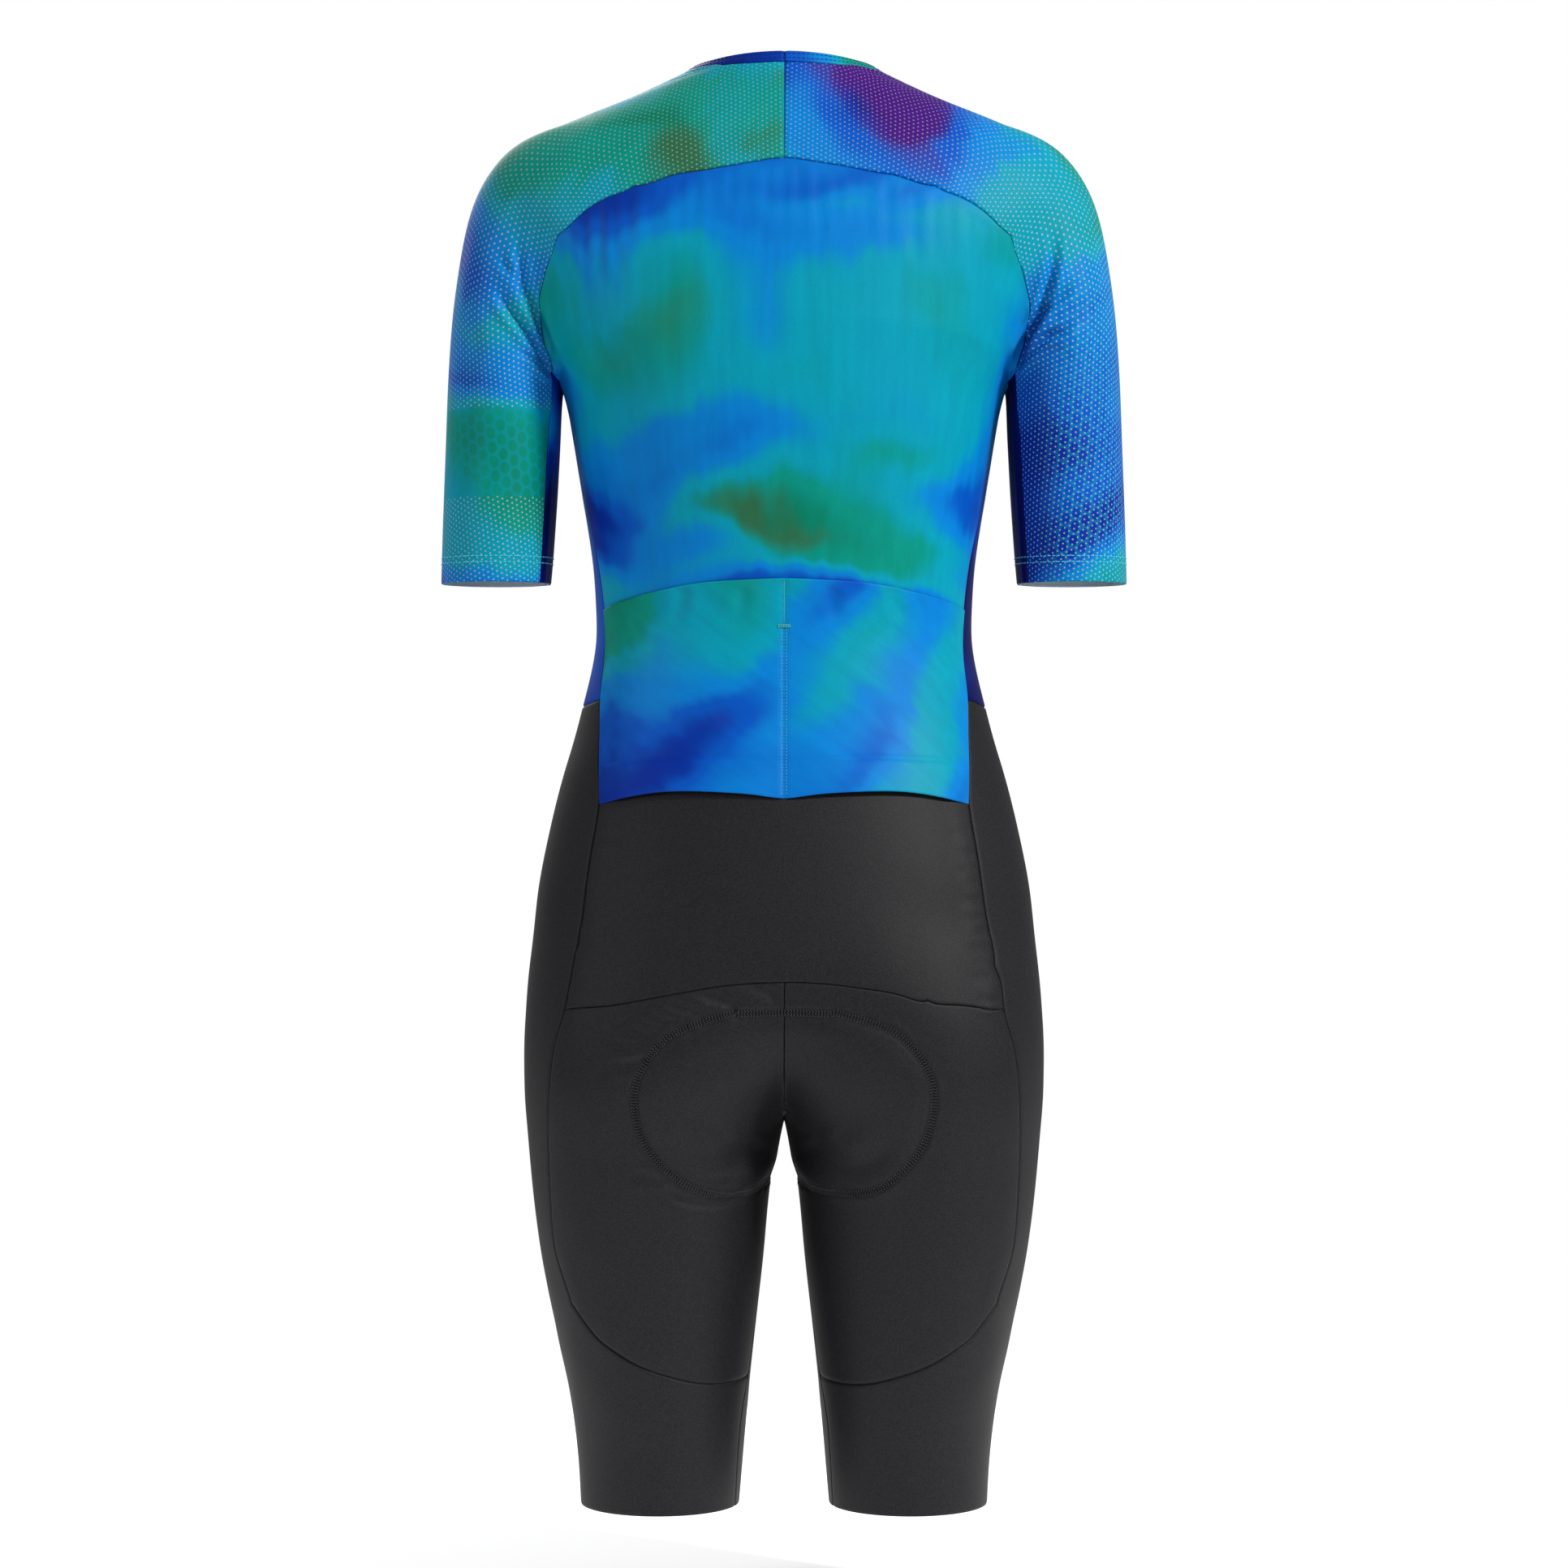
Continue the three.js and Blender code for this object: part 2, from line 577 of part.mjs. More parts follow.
function drawBack(points, normals, rims) {
  const pulls = new Map();
  rims.forEach(([a, b]) => {
    const along = points[b].clone().sub(points[a]).normalize();
    [a, b].forEach((i) => {
      const inward = normals[i].clone().cross(along).normalize();
      pulls.set(i, [...(pulls.get(i) ?? []), inward]);
    });
  });
  return points.map((p, i) => {
    if (!pulls.has(i)) return p.clone();
    const [first, second] = pulls.get(i);
    const sum = first.clone().add(second);
    return p.clone().addScaledVector(sum, (SEAM_GAP / 2) / Math.max(1 + first.dot(second), 0.3));
  });
}

function solid(points, faces) {
  const positions = [];
  faces.forEach((face) => {
    for (let i = 1; i < face.length - 1; i += 1) {
      [face[0], face[i], face[i + 1]].forEach((k) => positions.push(points[k].x, points[k].y, points[k].z));
    }
  });
  const geometry = new THREE.BufferGeometry();
  geometry.setAttribute('position', new THREE.Float32BufferAttribute(positions, 3));
  geometry.computeVertexNormals();
  return geometry;
}

// The same geometry on the wearer's right.
function toRight(geometry) {
  const right = geometry.clone();
  const position = right.getAttribute('position');
  for (let i = 0; i < position.count; i += 3) {
    const corners = [0, 2, 1].map((k) => [position.getX(i + k), position.getY(i + k), position.getZ(i + k)]);
    corners.forEach(([x, y, z], k) => position.setXYZ(i + k, -x, y, z));
  }
  right.computeVertexNormals();
  return right;
}

// ---- cloths ----
const smoothKnit = new THREE.MeshStandardMaterial({ color: 0x0a86b8, roughness: 0.5, metalness: 0 });
const pocketKnit = new THREE.MeshStandardMaterial({ color: 0x0a9a92, roughness: 0.5, metalness: 0 });
const meshKnit = new THREE.MeshStandardMaterial({ color: 0x15938c, roughness: 0.7, metalness: 0 });
const sideKnit = new THREE.MeshStandardMaterial({ color: 0x0b3fae, roughness: 0.5, metalness: 0 });
const bandKnit = new THREE.MeshStandardMaterial({ color: 0x2633a8, roughness: 0.6, metalness: 0 });
const shortsKnit = new THREE.MeshStandardMaterial({ color: 0x242529, roughness: 0.65, metalness: 0 });
const padKnit = new THREE.MeshStandardMaterial({ color: 0x2b2c31, roughness: 0.9, metalness: 0 });
const zipTape = new THREE.MeshStandardMaterial({ color: 0x14357e, roughness: 0.7, metalness: 0 });
const zipMetal = new THREE.MeshStandardMaterial({ color: 0x26282c, roughness: 0.35, metalness: 0.8 });

const suit = new THREE.Group();

function add(name, geometry, material, parent = suit) {
  const mesh = new THREE.Mesh(geometry, material);
  mesh.name = name;
  parent.add(mesh);
}

function addPair(name, geometry, material) {
  add(`${name}_left`, geometry, material);
  add(`${name}_right`, toRight(geometry), material);
}

const acrossFromLeft = (half) => joined(reversed(half), mirrored(half));

// ---- the top ----
function backPanel() {
  const upper = grid(
    acrossFromLeft(archTop), acrossFromLeft(pocketMouthHalf),
    joined(archSide, armholeBack, sideTop), mirrored(joined(archSide, armholeBack, sideTop)), trunkChart, 0,
  );
  return stacked(upper, pocketGrid());
}

function pocketGrid() {
  const side = joined(sidePocket, sideBlack);
  return grid(acrossFromLeft(pocketMouthHalf), acrossFromLeft(waistBackHalf), side, mirrored(side), trunkChart, 0);
}

function lowerBackGrid() {
  return grid(acrossFromLeft(waistBackHalf), acrossFromLeft(seatTop), sideLower, mirrored(sideLower), trunkChart, 0);
}

// The pockets lie on the back panel's own points. They swell a little between the side seams and the
// centre stitching, and their bottoms hang over the first of the black cloth.
function pocketPanel() {
  const net = pocketGrid();
  const below = lowerBackGrid().points;
  const width = net.columns + 1;
  const overhang = [];
  for (let i = 0; i < width; i += 1) {
    const seamPoint = below[i];
    const next = below[i + width];
    overhang.push(seamPoint.clone().lerp(next, POCKET_OVERHANG / seamPoint.distanceTo(next)));
  }
  const points = net.points.concat(overhang);
  const rows = net.rows + 1;
  const lift = points.map((p, k) => {
    const across = (k % width) / net.columns;
    const down = Math.floor(k / width) / rows;
    const lobe = Math.abs(Math.sin(across * Math.PI * 2)) ** 0.8;
    return LAYER_GAP + POCKET_WALL + POCKET_SWELL * lobe * down ** 1.5;
  });
  return wall({ points, faces: gridFaces(net.columns, rows, true) }, POCKET_WALL, lift);
}

function yokeSleeve() {
  const cuff = cuffEdge(UNDERARM_TURN, -UNDERARM_TURN, COUNT.centreYoke + COUNT.neckBack);
  cuff[0] = last(underarmBack);
  cuff[cuff.length - 1] = last(underarmFront);
  const centre = seam((t) => trunkChart.place(0, THREE.MathUtils.lerp(archTop[0].z, neckBack[0].z, t)), COUNT.centreYoke);
  return grid(
    joined(centre, neckBack), cuff,
    joined(archTop, archSide, underarmBack), joined(slantTop, slantSide, underarmFront), sleeveChart, 0,
  );
}

function cuffEdge(from, to, pieces) {
  const along = SPINE_BENT + SPINE.bendZ - CUFF;
  return seam((t) => sleeveChart.place(THREE.MathUtils.lerp(from, to, t), along), pieces);
}

function underarm() {
  const cuff = cuffEdge(UNDERARM_TURN, 360 - UNDERARM_TURN, COUNT.armholeEnd * 2 + COUNT.armholeLow);
  cuff[0] = last(underarmBack);
  cuff[cuff.length - 1] = last(underarmFront);
  return grid(armhole, cuff, underarmBack, underarmFront, sleeveChart, 180);
}

function sidePanel() {
  return grid(armholeUnder, waistSide, joined(sideTop, sidePocket), sideFront, trunkChart, 90);
}

// The fronts' edges beside the zip run straight up from the waist seam to the neck.
const zipEdge = seam(
  (t) => zipPoint(THREE.MathUtils.lerp(last(neckFront).z, last(waistFront).z, t)),
  COUNT.archSide + COUNT.armholeEnd + COUNT.sideTop + COUNT.sidePocket - COUNT.neckFront,
);
zipEdge[0] = last(neckFront);
const waistFrontEdge = [...waistFront.slice(0, -1), last(zipEdge)];

function front() {
  return grid(
    reversed(slantTop), waistFrontEdge,
    joined(slantSide, armholeFront.slice().reverse(), sideFront), joined(neckFront, zipEdge), trunkChart, 150,
  );
}

// The neck band goes up the form from the neck seam, with one width all round.
function collar() {
  const neck = joined(neckBack, neckFront);
  const end = neck.length - 1;
  const raised = (share) => neck.map((p, i) => {
    const normal = outward(p);
    const z = p.z + COLLAR_WIDTH * share * Math.sqrt(1 - normal.z ** 2);
    return i === end ? zipPoint(z) : trunkChart.place(trunkChart.read(p, 90)[0], z);
  });
  const rim = raised(1);
  const middle = raised(0.5);
  const base = raised(SEAM_GAP / COLLAR_WIDTH);
  return grid(rim, base, [rim[0], middle[0], base[0]], [rim[end], middle[end], base[end]], trunkChart, 90);
}

// ---- the shorts ----
function seat() {
  return grid(
    seatTop, reversed(thighUnder), joined(centreSeat, inseamTop), thighSide, legChart, 0,
  );
}

// The front and outer side of the shorts and the lower leg are one cut of cloth. It is built as three
// walls: the hip, the thigh, and the tube round the lower leg, whose ends meet at the inner-leg seam.
const HIP_ROWS = COUNT.sideBlack + COUNT.lowerBack;

function legWalls() {
  const knee = levelSeam(legChart, KNEE_ROW, COUNT.armholeLow + COUNT.frontBottom);
  knee[0] = last(thighSide);
  knee[knee.length - 1] = last(inseamTop);
  const upper = grid(
    joined(waistSide, waistFront), knee,
    joined(sideBlack, sideLower, thighSide), joined(centreRise, centreFork, inseamTop), legChart, 60,
  );
  const hemStart = legChart.read(last(inseamLow), -70)[0];
  const hem = seam((t) => legChart.place(hemStart + 360 * t, HEM), COUNT.thighEnd + upper.columns);
  hem[0] = last(inseamLow);
  hem[hem.length - 1] = last(inseamLow);
  const lower = grid(joined(reversed(thighUnder), knee), hem, inseamLow, inseamLow, legChart, -89);
  return [rowsOf(upper, 0, HIP_ROWS), rowsOf(upper, HIP_ROWS, upper.rows), lower];
}

// A few rows of a grid as a grid of its own.
function rowsOf(net, from, to) {
  const width = net.columns + 1;
  const points = net.points.slice(from * width, (to + 1) * width);
  return { points, faces: gridFaces(net.columns, to - from), columns: net.columns, rows: to - from };
}

// ---- the seat pad ----
// Its outline on the left leg by turn and height: the back edge down to the inner leg, then the front.
const PAD_BACK = [
  [-21, -595], [-9, -602], [0, -616.5], [5.4, -633.5], [6.6, -648.5], [5, -669], [0, -688],
  [-9, -701], [-19, -707], [-32, -708], [-46, -706.5], [-61, -705], [-90, -703],
];
const PAD_FRONT = [[-90, -703], [-108, -700], [-124, -690], [-133, -670], [-138, -642], [-142, -615]];
const PAD_TOP = 3;            // turns on the centre seam, from level backwards round under the fork
const PAD_FORK_TURN = -90;
const PAD_FRONT_END = -174;
const PAD_ROWS = 7;           // behind the fork, and as many in front
const PAD_COLUMNS = 5;

function seatPad() {
  const centreBack = seam((t) => forkPoint(THREE.MathUtils.lerp(PAD_TOP, PAD_FORK_TURN, t)), PAD_ROWS);
  const centreFront = seam((t) => forkPoint(THREE.MathUtils.lerp(PAD_FORK_TURN, PAD_FRONT_END, t)), PAD_ROWS);
  const rimBack = levelSeam(legChart, PAD_BACK, PAD_ROWS);
  const rimFront = levelSeam(legChart, PAD_FRONT, PAD_ROWS);
  const endBack = padEnd(centreBack[0], rimBack[0]);
  const endFront = padEnd(last(centreFront), last(rimFront));
  const half = grid(endBack, endFront, joined(centreBack, centreFront), joined(rimBack, rimFront), legChart, -60);
  const net = mirrorAcross(half);
  const thickness = net.points.map((p, k) => {
    const across = Math.abs(k % (net.columns + 1) - PAD_COLUMNS) / PAD_COLUMNS;
    const down = Math.floor(k / (net.columns + 1)) / net.rows;
    const lobe = Math.exp(-(((across - 0.5) / 0.28) ** 2) - ((down - 0.3) / 0.16) ** 2);
    const body = (1 - across ** 4) * (1 - Math.abs(2 * down - 1) ** 6);
    return PAD_EDGE + PAD_BODY * body + PAD_LOBE * lobe * body;
  });
  const lift = net.points.map((p, k) => {
    const down = Math.floor(k / (net.columns + 1)) / net.rows;
    return -WALL - THREE.MathUtils.lerp(PAD_GAP, PAD_FRONT_GAP, THREE.MathUtils.smoothstep(down, 0.35, 0.6));
  });
  return wall(net, thickness, lift);
}

function padEnd(centre, rim) {
  const [from, to] = readAlong([centre, rim], legChart, -60);
  const end = seam((t) => legChart.place(
    THREE.MathUtils.lerp(from.x, to.x, t),
    THREE.MathUtils.lerp(from.y, to.y, t),
  ), PAD_COLUMNS);
  end[0] = centre;
  end[PAD_COLUMNS] = rim;
  return end;
}

// A grid whose first column is on the mid-plane, with its mirror image on the other side.
function mirrorAcross(half) {
  const points = [];
  for (let j = 0; j <= half.rows; j += 1) {
    const row = half.points.slice(j * (half.columns + 1), (j + 1) * (half.columns + 1));
    row[0].x = 0;
    points.push(...reversed(row), ...mirrored(row.slice(1)));
  }
  const columns = half.columns * 2;
  return { points, faces: gridFaces(columns, half.rows, true), columns, rows: half.rows };
}

// ---- the zip ----
// Tape behind the fronts' edges with the closed chain standing between them, as one strip.
function zipStrip() {
  const line = zipLine();
  const section = [
    [-ZIP_HALF_TAPE, 0], [ZIP_HALF_TAPE, 0], [ZIP_HALF_TAPE, ZIP_TAPE], [ZIP_HALF_CHAIN, ZIP_TAPE],
    [ZIP_HALF_CHAIN, ZIP_TAPE + ZIP_RISE], [-ZIP_HALF_CHAIN, ZIP_TAPE + ZIP_RISE],
    [-ZIP_HALF_CHAIN, ZIP_TAPE], [-ZIP_HALF_TAPE, ZIP_TAPE],
  ];
  const depth = WALL + ZIP_TAPE_GAP + ZIP_TAPE;
  const points = [];
  line.forEach(({ p, normal }) => section.forEach(([x, rise]) => {
    points.push(vec(x, p.y + normal.y * (rise - depth), p.z + normal.z * (rise - depth)));
  }));
  const n = section.length;
  const faces = [];
  for (let j = 0; j < line.length - 1; j += 1) {
    for (let i = 0; i < n; i += 1) {
      const next = (i + 1) % n;
      faces.push([j * n + i, j * n + next, (j + 1) * n + next, (j + 1) * n + i]);
    }
  }
  const foot = (line.length - 1) * n;
  [[0, 1, 2, 3], [0, 3, 6, 7], [3, 4, 5, 6]].forEach((cap) => {
    faces.push(flipped(cap));
    faces.push(cap.map((k) => k + foot));
  });
  return solid(points, faces);
}

// Points and slopes down the middle of the zip, at the same heights as the fronts' edges.
function zipLine() {
  const rim = collar().points[COUNT.neckBack + COUNT.neckFront];
  const stops = [rim, ...zipEdge.filter((p) => p.z > ZIP_END + 8), zipPoint(ZIP_END)];
  return stops.map((p) => {
    const normal = outward(p).setX(0).normalize();
    return { p, normal };
  });
}

// ---- slider and pull tab ----
// Both are drawn in the slider's own frame: +Z faces out of the chest and +Y goes up to the neck.
const SLIDER = { halfHead: 4.4, halfFoot: 2.9, halfLength: 5, thick: 1.8, notch: 1.4, bevel: 0.9 };
const BRIDGE = { halfWidth: 0.8, halfHole: 1.25, hole: 2.4, wire: 0.9, chamfer: 0.6 };
const PULL = {
  halfTop: 2.4, halfNeck: 2.1, halfEnd: 3.2, neck: 6, length: 27, thick: 1.1, halfBar: 0.5, halfEye: 1.3, eye: 2.8,
  corner: 0.6,
};
const PULL_AXIS = LAYER_GAP + SLIDER.thick + BRIDGE.hole / 2;

const outline = (rows) => new THREE.Shape(rows.map(([x, y]) => new THREE.Vector2(x, y)));
const bothSides = (rows) => rows.concat(reversed(rows).map(([x, y]) => [-x, y]));

function extruded(shape, depth) {
  return new THREE.ExtrudeGeometry(shape, { depth, bevelEnabled: false, curveSegments: 10 });
}

function toManifold(geometry) {
  const bare = geometry.clone();
  bare.deleteAttribute('normal');
  bare.deleteAttribute('uv');
  const merged = mergeVertices(bare, 1e-4);
  return new wasm.Manifold(new wasm.Mesh({
    numProp: 3,
    vertProperties: new Float32Array(merged.getAttribute('position').array),
    triVerts: new Uint32Array(merged.index.array),
  }));
}

function union(first, second) {
  const mesh = toManifold(first).add(toManifold(second)).getMesh();
  const geometry = new THREE.BufferGeometry();
  geometry.setAttribute('position', new THREE.BufferAttribute(mesh.vertProperties, 3));
  geometry.setIndex(new THREE.BufferAttribute(mesh.triVerts, 1));
  return geometry.toNonIndexed();
}

// A flat body with a notched head, and a bridge along it that the pull tab's crossbar goes under.
function slider() {
  const { halfHead, halfFoot, halfLength, notch, bevel } = SLIDER;
  const body = extruded(outline(bothSides([
    [halfFoot, -halfLength], [halfHead, halfLength * 0.3], [halfHead, halfLength - bevel],
    [halfHead - bevel, halfLength], [notch, halfLength], [notch * 0.2, halfLength - notch],
  ])), SLIDER.thick);
  const { halfWidth, halfHole, hole, wire, chamfer } = BRIDGE;
  const foot = -SLIDER.thick / 2;
  const side = halfHole + wire;
  const bridge = extruded(outline([
    [-side, foot], [-halfHole, foot], [-halfHole, hole], [halfHole, hole], [halfHole, foot], [side, foot],
    [side, hole + wire - chamfer], [side - chamfer, hole + wire], [chamfer - side, hole + wire],
    [-side, hole + wire - chamfer],
  ]), halfWidth * 2);
  bridge.applyMatrix4(new THREE.Matrix4().makeBasis(vec(0, 1, 0), vec(0, 0, 1), vec(1, 0, 0)));
  bridge.translate(-halfWidth, 0, SLIDER.thick);
  return union(body, bridge).translate(0, 0, LAYER_GAP);
}

// A flat tab that widens to a round end. Its eye goes round the bridge, so it hinges on its crossbar.
function pull() {
  const { halfTop, halfNeck, halfEnd, neck, length, thick, halfBar, halfEye, eye, corner } = PULL;
  const shape = outline([
    [halfTop - corner, halfBar], [corner - halfTop, halfBar], [-halfTop, halfBar - corner], [-halfNeck, -neck],
  ]);
  shape.lineTo(-halfEnd, halfEnd - length);
  shape.absarc(0, halfEnd - length, halfEnd, Math.PI, 2 * Math.PI, false);
  shape.lineTo(halfNeck, -neck);
  shape.lineTo(halfTop, halfBar - corner);
  shape.holes.push(outline([
    [-halfEye, -halfBar], [halfEye, -halfBar], [halfEye, -halfBar - eye], [-halfEye, -halfBar - eye],
  ]));
  return extruded(shape, thick).translate(0, 0, PULL_AXIS - thick / 2);
}

// The group that both stand in, on the chest.
function clasp() {
  const p = surface(vec(0, -8, SLIDER_HEIGHT), vec(0, -1, 0));
  const normal = outward(p).setX(0).normalize();
  const group = new THREE.Group();
  group.position.copy(p);
  group.rotation.x = Math.atan2(-normal.y, normal.z);
  return group;
}

add('back_panel', wall(backPanel(), WALL), smoothKnit);
add('pocket_panel', pocketPanel(), pocketKnit);
addPair('yoke_sleeve', wall(yokeSleeve(), WALL), meshKnit);
addPair('underarm', wall(underarm(), WALL), sideKnit);
addPair('side', wall(sidePanel(), WALL), sideKnit);
addPair('front', wall(front(), WALL), smoothKnit);
addPair('collar', wall(collar(), WALL), bandKnit);
add('lower_back', wall(lowerBackGrid(), WALL), shortsKnit);
addPair('seat', wall(seat(), WALL), shortsKnit);
const [hip, thigh, lowerLeg] = legWalls();
addPair('hip', wall(hip, WALL), shortsKnit);
addPair('thigh', wall(thigh, WALL), shortsKnit);
addPair('lower_leg', wall(lowerLeg, WALL), shortsKnit);
add('seat_pad', seatPad(), padKnit);
add('zip_tape', zipStrip(), zipTape);

const onChest = clasp();
suit.add(onChest);
add('zip_slider', slider(), zipMetal, onChest);
add('zip_pull', pull(), zipMetal, onChest);

export default suit;
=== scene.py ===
# %% [markdown]
# # A women's one-piece cycling suit, worn by nobody
# The suit is thin stretch knit pulled tight, so it has one smooth skin that many panels share.
# The CAD model gives every panel as a thin faceted wall. We weld the outer faces of those walls
# into one body, smooth it, press the folds into it, and only then cut it back into panels. That
# way the cloth runs on across each seam, as it does on the real suit.

# %% Load the frame
import json
import math

import bmesh
import bpy
import numpy as np
from mathutils import Matrix, Vector
from mathutils.bvhtree import BVHTree

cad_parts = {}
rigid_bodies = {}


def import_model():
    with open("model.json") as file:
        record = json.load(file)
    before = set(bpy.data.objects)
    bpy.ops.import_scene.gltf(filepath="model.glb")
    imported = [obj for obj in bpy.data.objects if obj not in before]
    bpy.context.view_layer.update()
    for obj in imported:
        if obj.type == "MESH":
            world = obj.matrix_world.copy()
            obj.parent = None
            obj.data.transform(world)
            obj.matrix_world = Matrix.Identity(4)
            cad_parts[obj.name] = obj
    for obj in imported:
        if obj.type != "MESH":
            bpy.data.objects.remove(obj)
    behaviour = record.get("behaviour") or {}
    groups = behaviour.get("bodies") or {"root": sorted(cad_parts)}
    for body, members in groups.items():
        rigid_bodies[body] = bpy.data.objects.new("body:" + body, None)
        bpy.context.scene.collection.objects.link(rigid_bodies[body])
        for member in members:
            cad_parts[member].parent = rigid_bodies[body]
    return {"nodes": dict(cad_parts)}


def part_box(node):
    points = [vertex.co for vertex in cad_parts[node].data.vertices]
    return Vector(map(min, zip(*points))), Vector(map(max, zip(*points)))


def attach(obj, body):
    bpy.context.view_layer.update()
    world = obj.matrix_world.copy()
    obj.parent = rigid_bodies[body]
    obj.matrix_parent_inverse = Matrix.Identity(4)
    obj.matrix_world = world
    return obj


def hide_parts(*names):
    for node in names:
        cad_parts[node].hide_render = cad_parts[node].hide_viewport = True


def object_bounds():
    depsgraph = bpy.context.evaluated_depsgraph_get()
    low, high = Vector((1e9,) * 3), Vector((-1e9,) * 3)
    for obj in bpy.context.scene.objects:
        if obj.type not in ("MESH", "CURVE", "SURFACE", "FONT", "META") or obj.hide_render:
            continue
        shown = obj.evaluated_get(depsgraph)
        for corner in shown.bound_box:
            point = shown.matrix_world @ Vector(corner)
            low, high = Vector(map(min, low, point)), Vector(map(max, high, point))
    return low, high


for leftover in list(bpy.data.objects):
    bpy.data.objects.remove(leftover)
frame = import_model()
cad_low, cad_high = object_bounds()
scene = bpy.context.scene
print("CAD box, mm:", [round((b - a) * 1000, 1) for a, b in zip(cad_low, cad_high)])

# %% [markdown]
# ## Camera and light
# A long lens at the height of the suit's middle sees its back almost without perspective. One big
# soft lamp grazes the back from the right, so that folds in tight cloth cast a little shade. A
# weak one on the left and a dim white room fill the shadows, and a third lights the front. To the
# camera the room looks pure white all the same.

# %% Camera
camera_data = bpy.data.cameras.new("camera")
camera_data.lens = 107.5
camera_data.sensor_width = 36
camera = bpy.data.objects.new("camera", camera_data)
camera.location = (0, 3, -0.4529)
camera.rotation_euler = (math.radians(90), 0, math.radians(180))
scene.collection.objects.link(camera)
scene.camera = camera
scene.view_settings.view_transform = "Standard"
print("camera", tuple(round(c, 3) for c in camera.location), camera_data.lens, "mm")


# %% Lamps
def soft_lamp(name, place, target, size, power, colour):
    data = bpy.data.lights.new(name, "AREA")
    data.size = size
    data.energy = power
    data.color = colour
    lamp = bpy.data.objects.new(name, data)
    lamp.location = place
    lamp.rotation_euler = (Vector(target) - Vector(place)).to_track_quat("-Z", "Y").to_euler()
    scene.collection.objects.link(lamp)
    return lamp


MIDDLE = (0, 0, -0.45)
soft_lamp("key", (-2.2, 1.7, 1.5), MIDDLE, 0.5, 104, (1.0, 0.98, 0.96))
soft_lamp("fill", (2.6, 1.5, 0.6), MIDDLE, 0.9, 17, (0.97, 0.985, 1.0))
soft_lamp("front", (0.9, -2.4, 1.2), MIDDLE, 1.6, 44, (1.0, 1.0, 1.0))

world = bpy.data.worlds.new("white room")
world.use_nodes = True
background = world.node_tree.nodes["Background"]
background.inputs["Color"].default_value = (1, 1, 1, 1)
seen = world.node_tree.nodes.new("ShaderNodeLightPath").outputs["Is Camera Ray"]
brightness = world.node_tree.nodes.new("ShaderNodeMapRange")
brightness.inputs["To Min"].default_value, brightness.inputs["To Max"].default_value = 0.32, 1.0
world.node_tree.links.new(seen, brightness.inputs["Value"])
world.node_tree.links.new(brightness.outputs[0], background.inputs["Strength"])
scene.world = world

# %% Floor
FLOOR_HALF, FLOOR_GAP = 0.9, 0.06
floor_mesh = bpy.data.meshes.new("floor")
with_floor = bmesh.new()
bmesh.ops.create_grid(with_floor, x_segments=1, y_segments=1, size=FLOOR_HALF)
bmesh.ops.translate(with_floor, verts=with_floor.verts, vec=(0, 0, cad_low.z - FLOOR_GAP))
with_floor.to_mesh(floor_mesh)
with_floor.free()
floor = bpy.data.objects.new("floor", floor_mesh)
scene.collection.objects.link(floor)
floor_paint = bpy.data.materials.new("pale floor")
floor_paint.use_nodes = True
floor_shader = floor_paint.node_tree.nodes["Principled BSDF"]
floor_shader.inputs["Base Color"].default_value = (0.93, 0.93, 0.93, 1)
floor_shader.inputs["Roughness"].default_value = 0.9
floor_shader.inputs["Emission Color"].default_value = (1, 1, 1, 1)
floor_shader.inputs["Emission Strength"].default_value = 0.4
floor_mesh.materials.append(floor_paint)

# %% [markdown]
# ## The panels' outer skins
# A CAD wall has an outer skin, an inner skin and a narrow rim. Faces with a very short edge are
# the rim. With those gone the two skins come apart, and the outer one is the larger. On the pad and
# the pocket panel, distance from the body tells them apart. The loose triangles are then paired
# into the quads that a subdivision surface likes.

# %% Panels
def both(name, *nodes):
    """The rows of a left and a right panel, each with its CAD nodes."""
    sides = ("left", "right")
    return {f"{name}_{side}": tuple(f"{n}_{side}" for n in nodes or (name,)) for side in sides}


PANELS = {
    "back_panel": ("back_panel",), **both("yoke_sleeve"), **both("underarm"), **both("side"),
    **both("front"), **both("collar"), "lower_back": ("lower_back",), **both("seat"),
    **both("leg", "hip", "thigh", "lower_leg"),
}
NUMBER = {panel: i for i, panel in enumerate(PANELS)}
SAME_POINT = 2e-5
RIM_HEIGHT = 0.0015
WELD = 0.0012
print(len(PANELS), "panels")


# %% Outer skins
def islands(mesh):
    """The faces of a bmesh in connected groups."""
    left = set(mesh.faces)
    groups = []
    while left:
        queue = [left.pop()]
        group = []
        while queue:
            face = queue.pop()
            group.append(face)
            near = {f for e in face.edges for f in e.link_faces} & left
            left -= near
            queue.extend(near)
        groups.append(group)
    return groups


def area_of(faces):
    return sum(face.calc_area() for face in faces)


def bmesh_of(mesh):
    made = bmesh.new()
    made.from_mesh(mesh)
    return made


def write_to(mesh, made):
    """Writes a bmesh to a mesh and frees it."""
    made.to_mesh(mesh)
    made.free()


def cad_copy(node):
    """A CAD node's mesh as a bmesh, with the corners that its triangles share merged."""
    copy = bmesh_of(frame["nodes"][node].data)
    bmesh.ops.remove_doubles(copy, verts=copy.verts, dist=SAME_POINT)
    return copy


def pair_up(mesh, faces, shape_limit=70):
    """Joins loose triangles two by two into quads."""
    bmesh.ops.join_triangles(
        mesh, faces=faces,
        angle_face_threshold=math.radians(60), angle_shape_threshold=math.radians(shape_limit),
    )


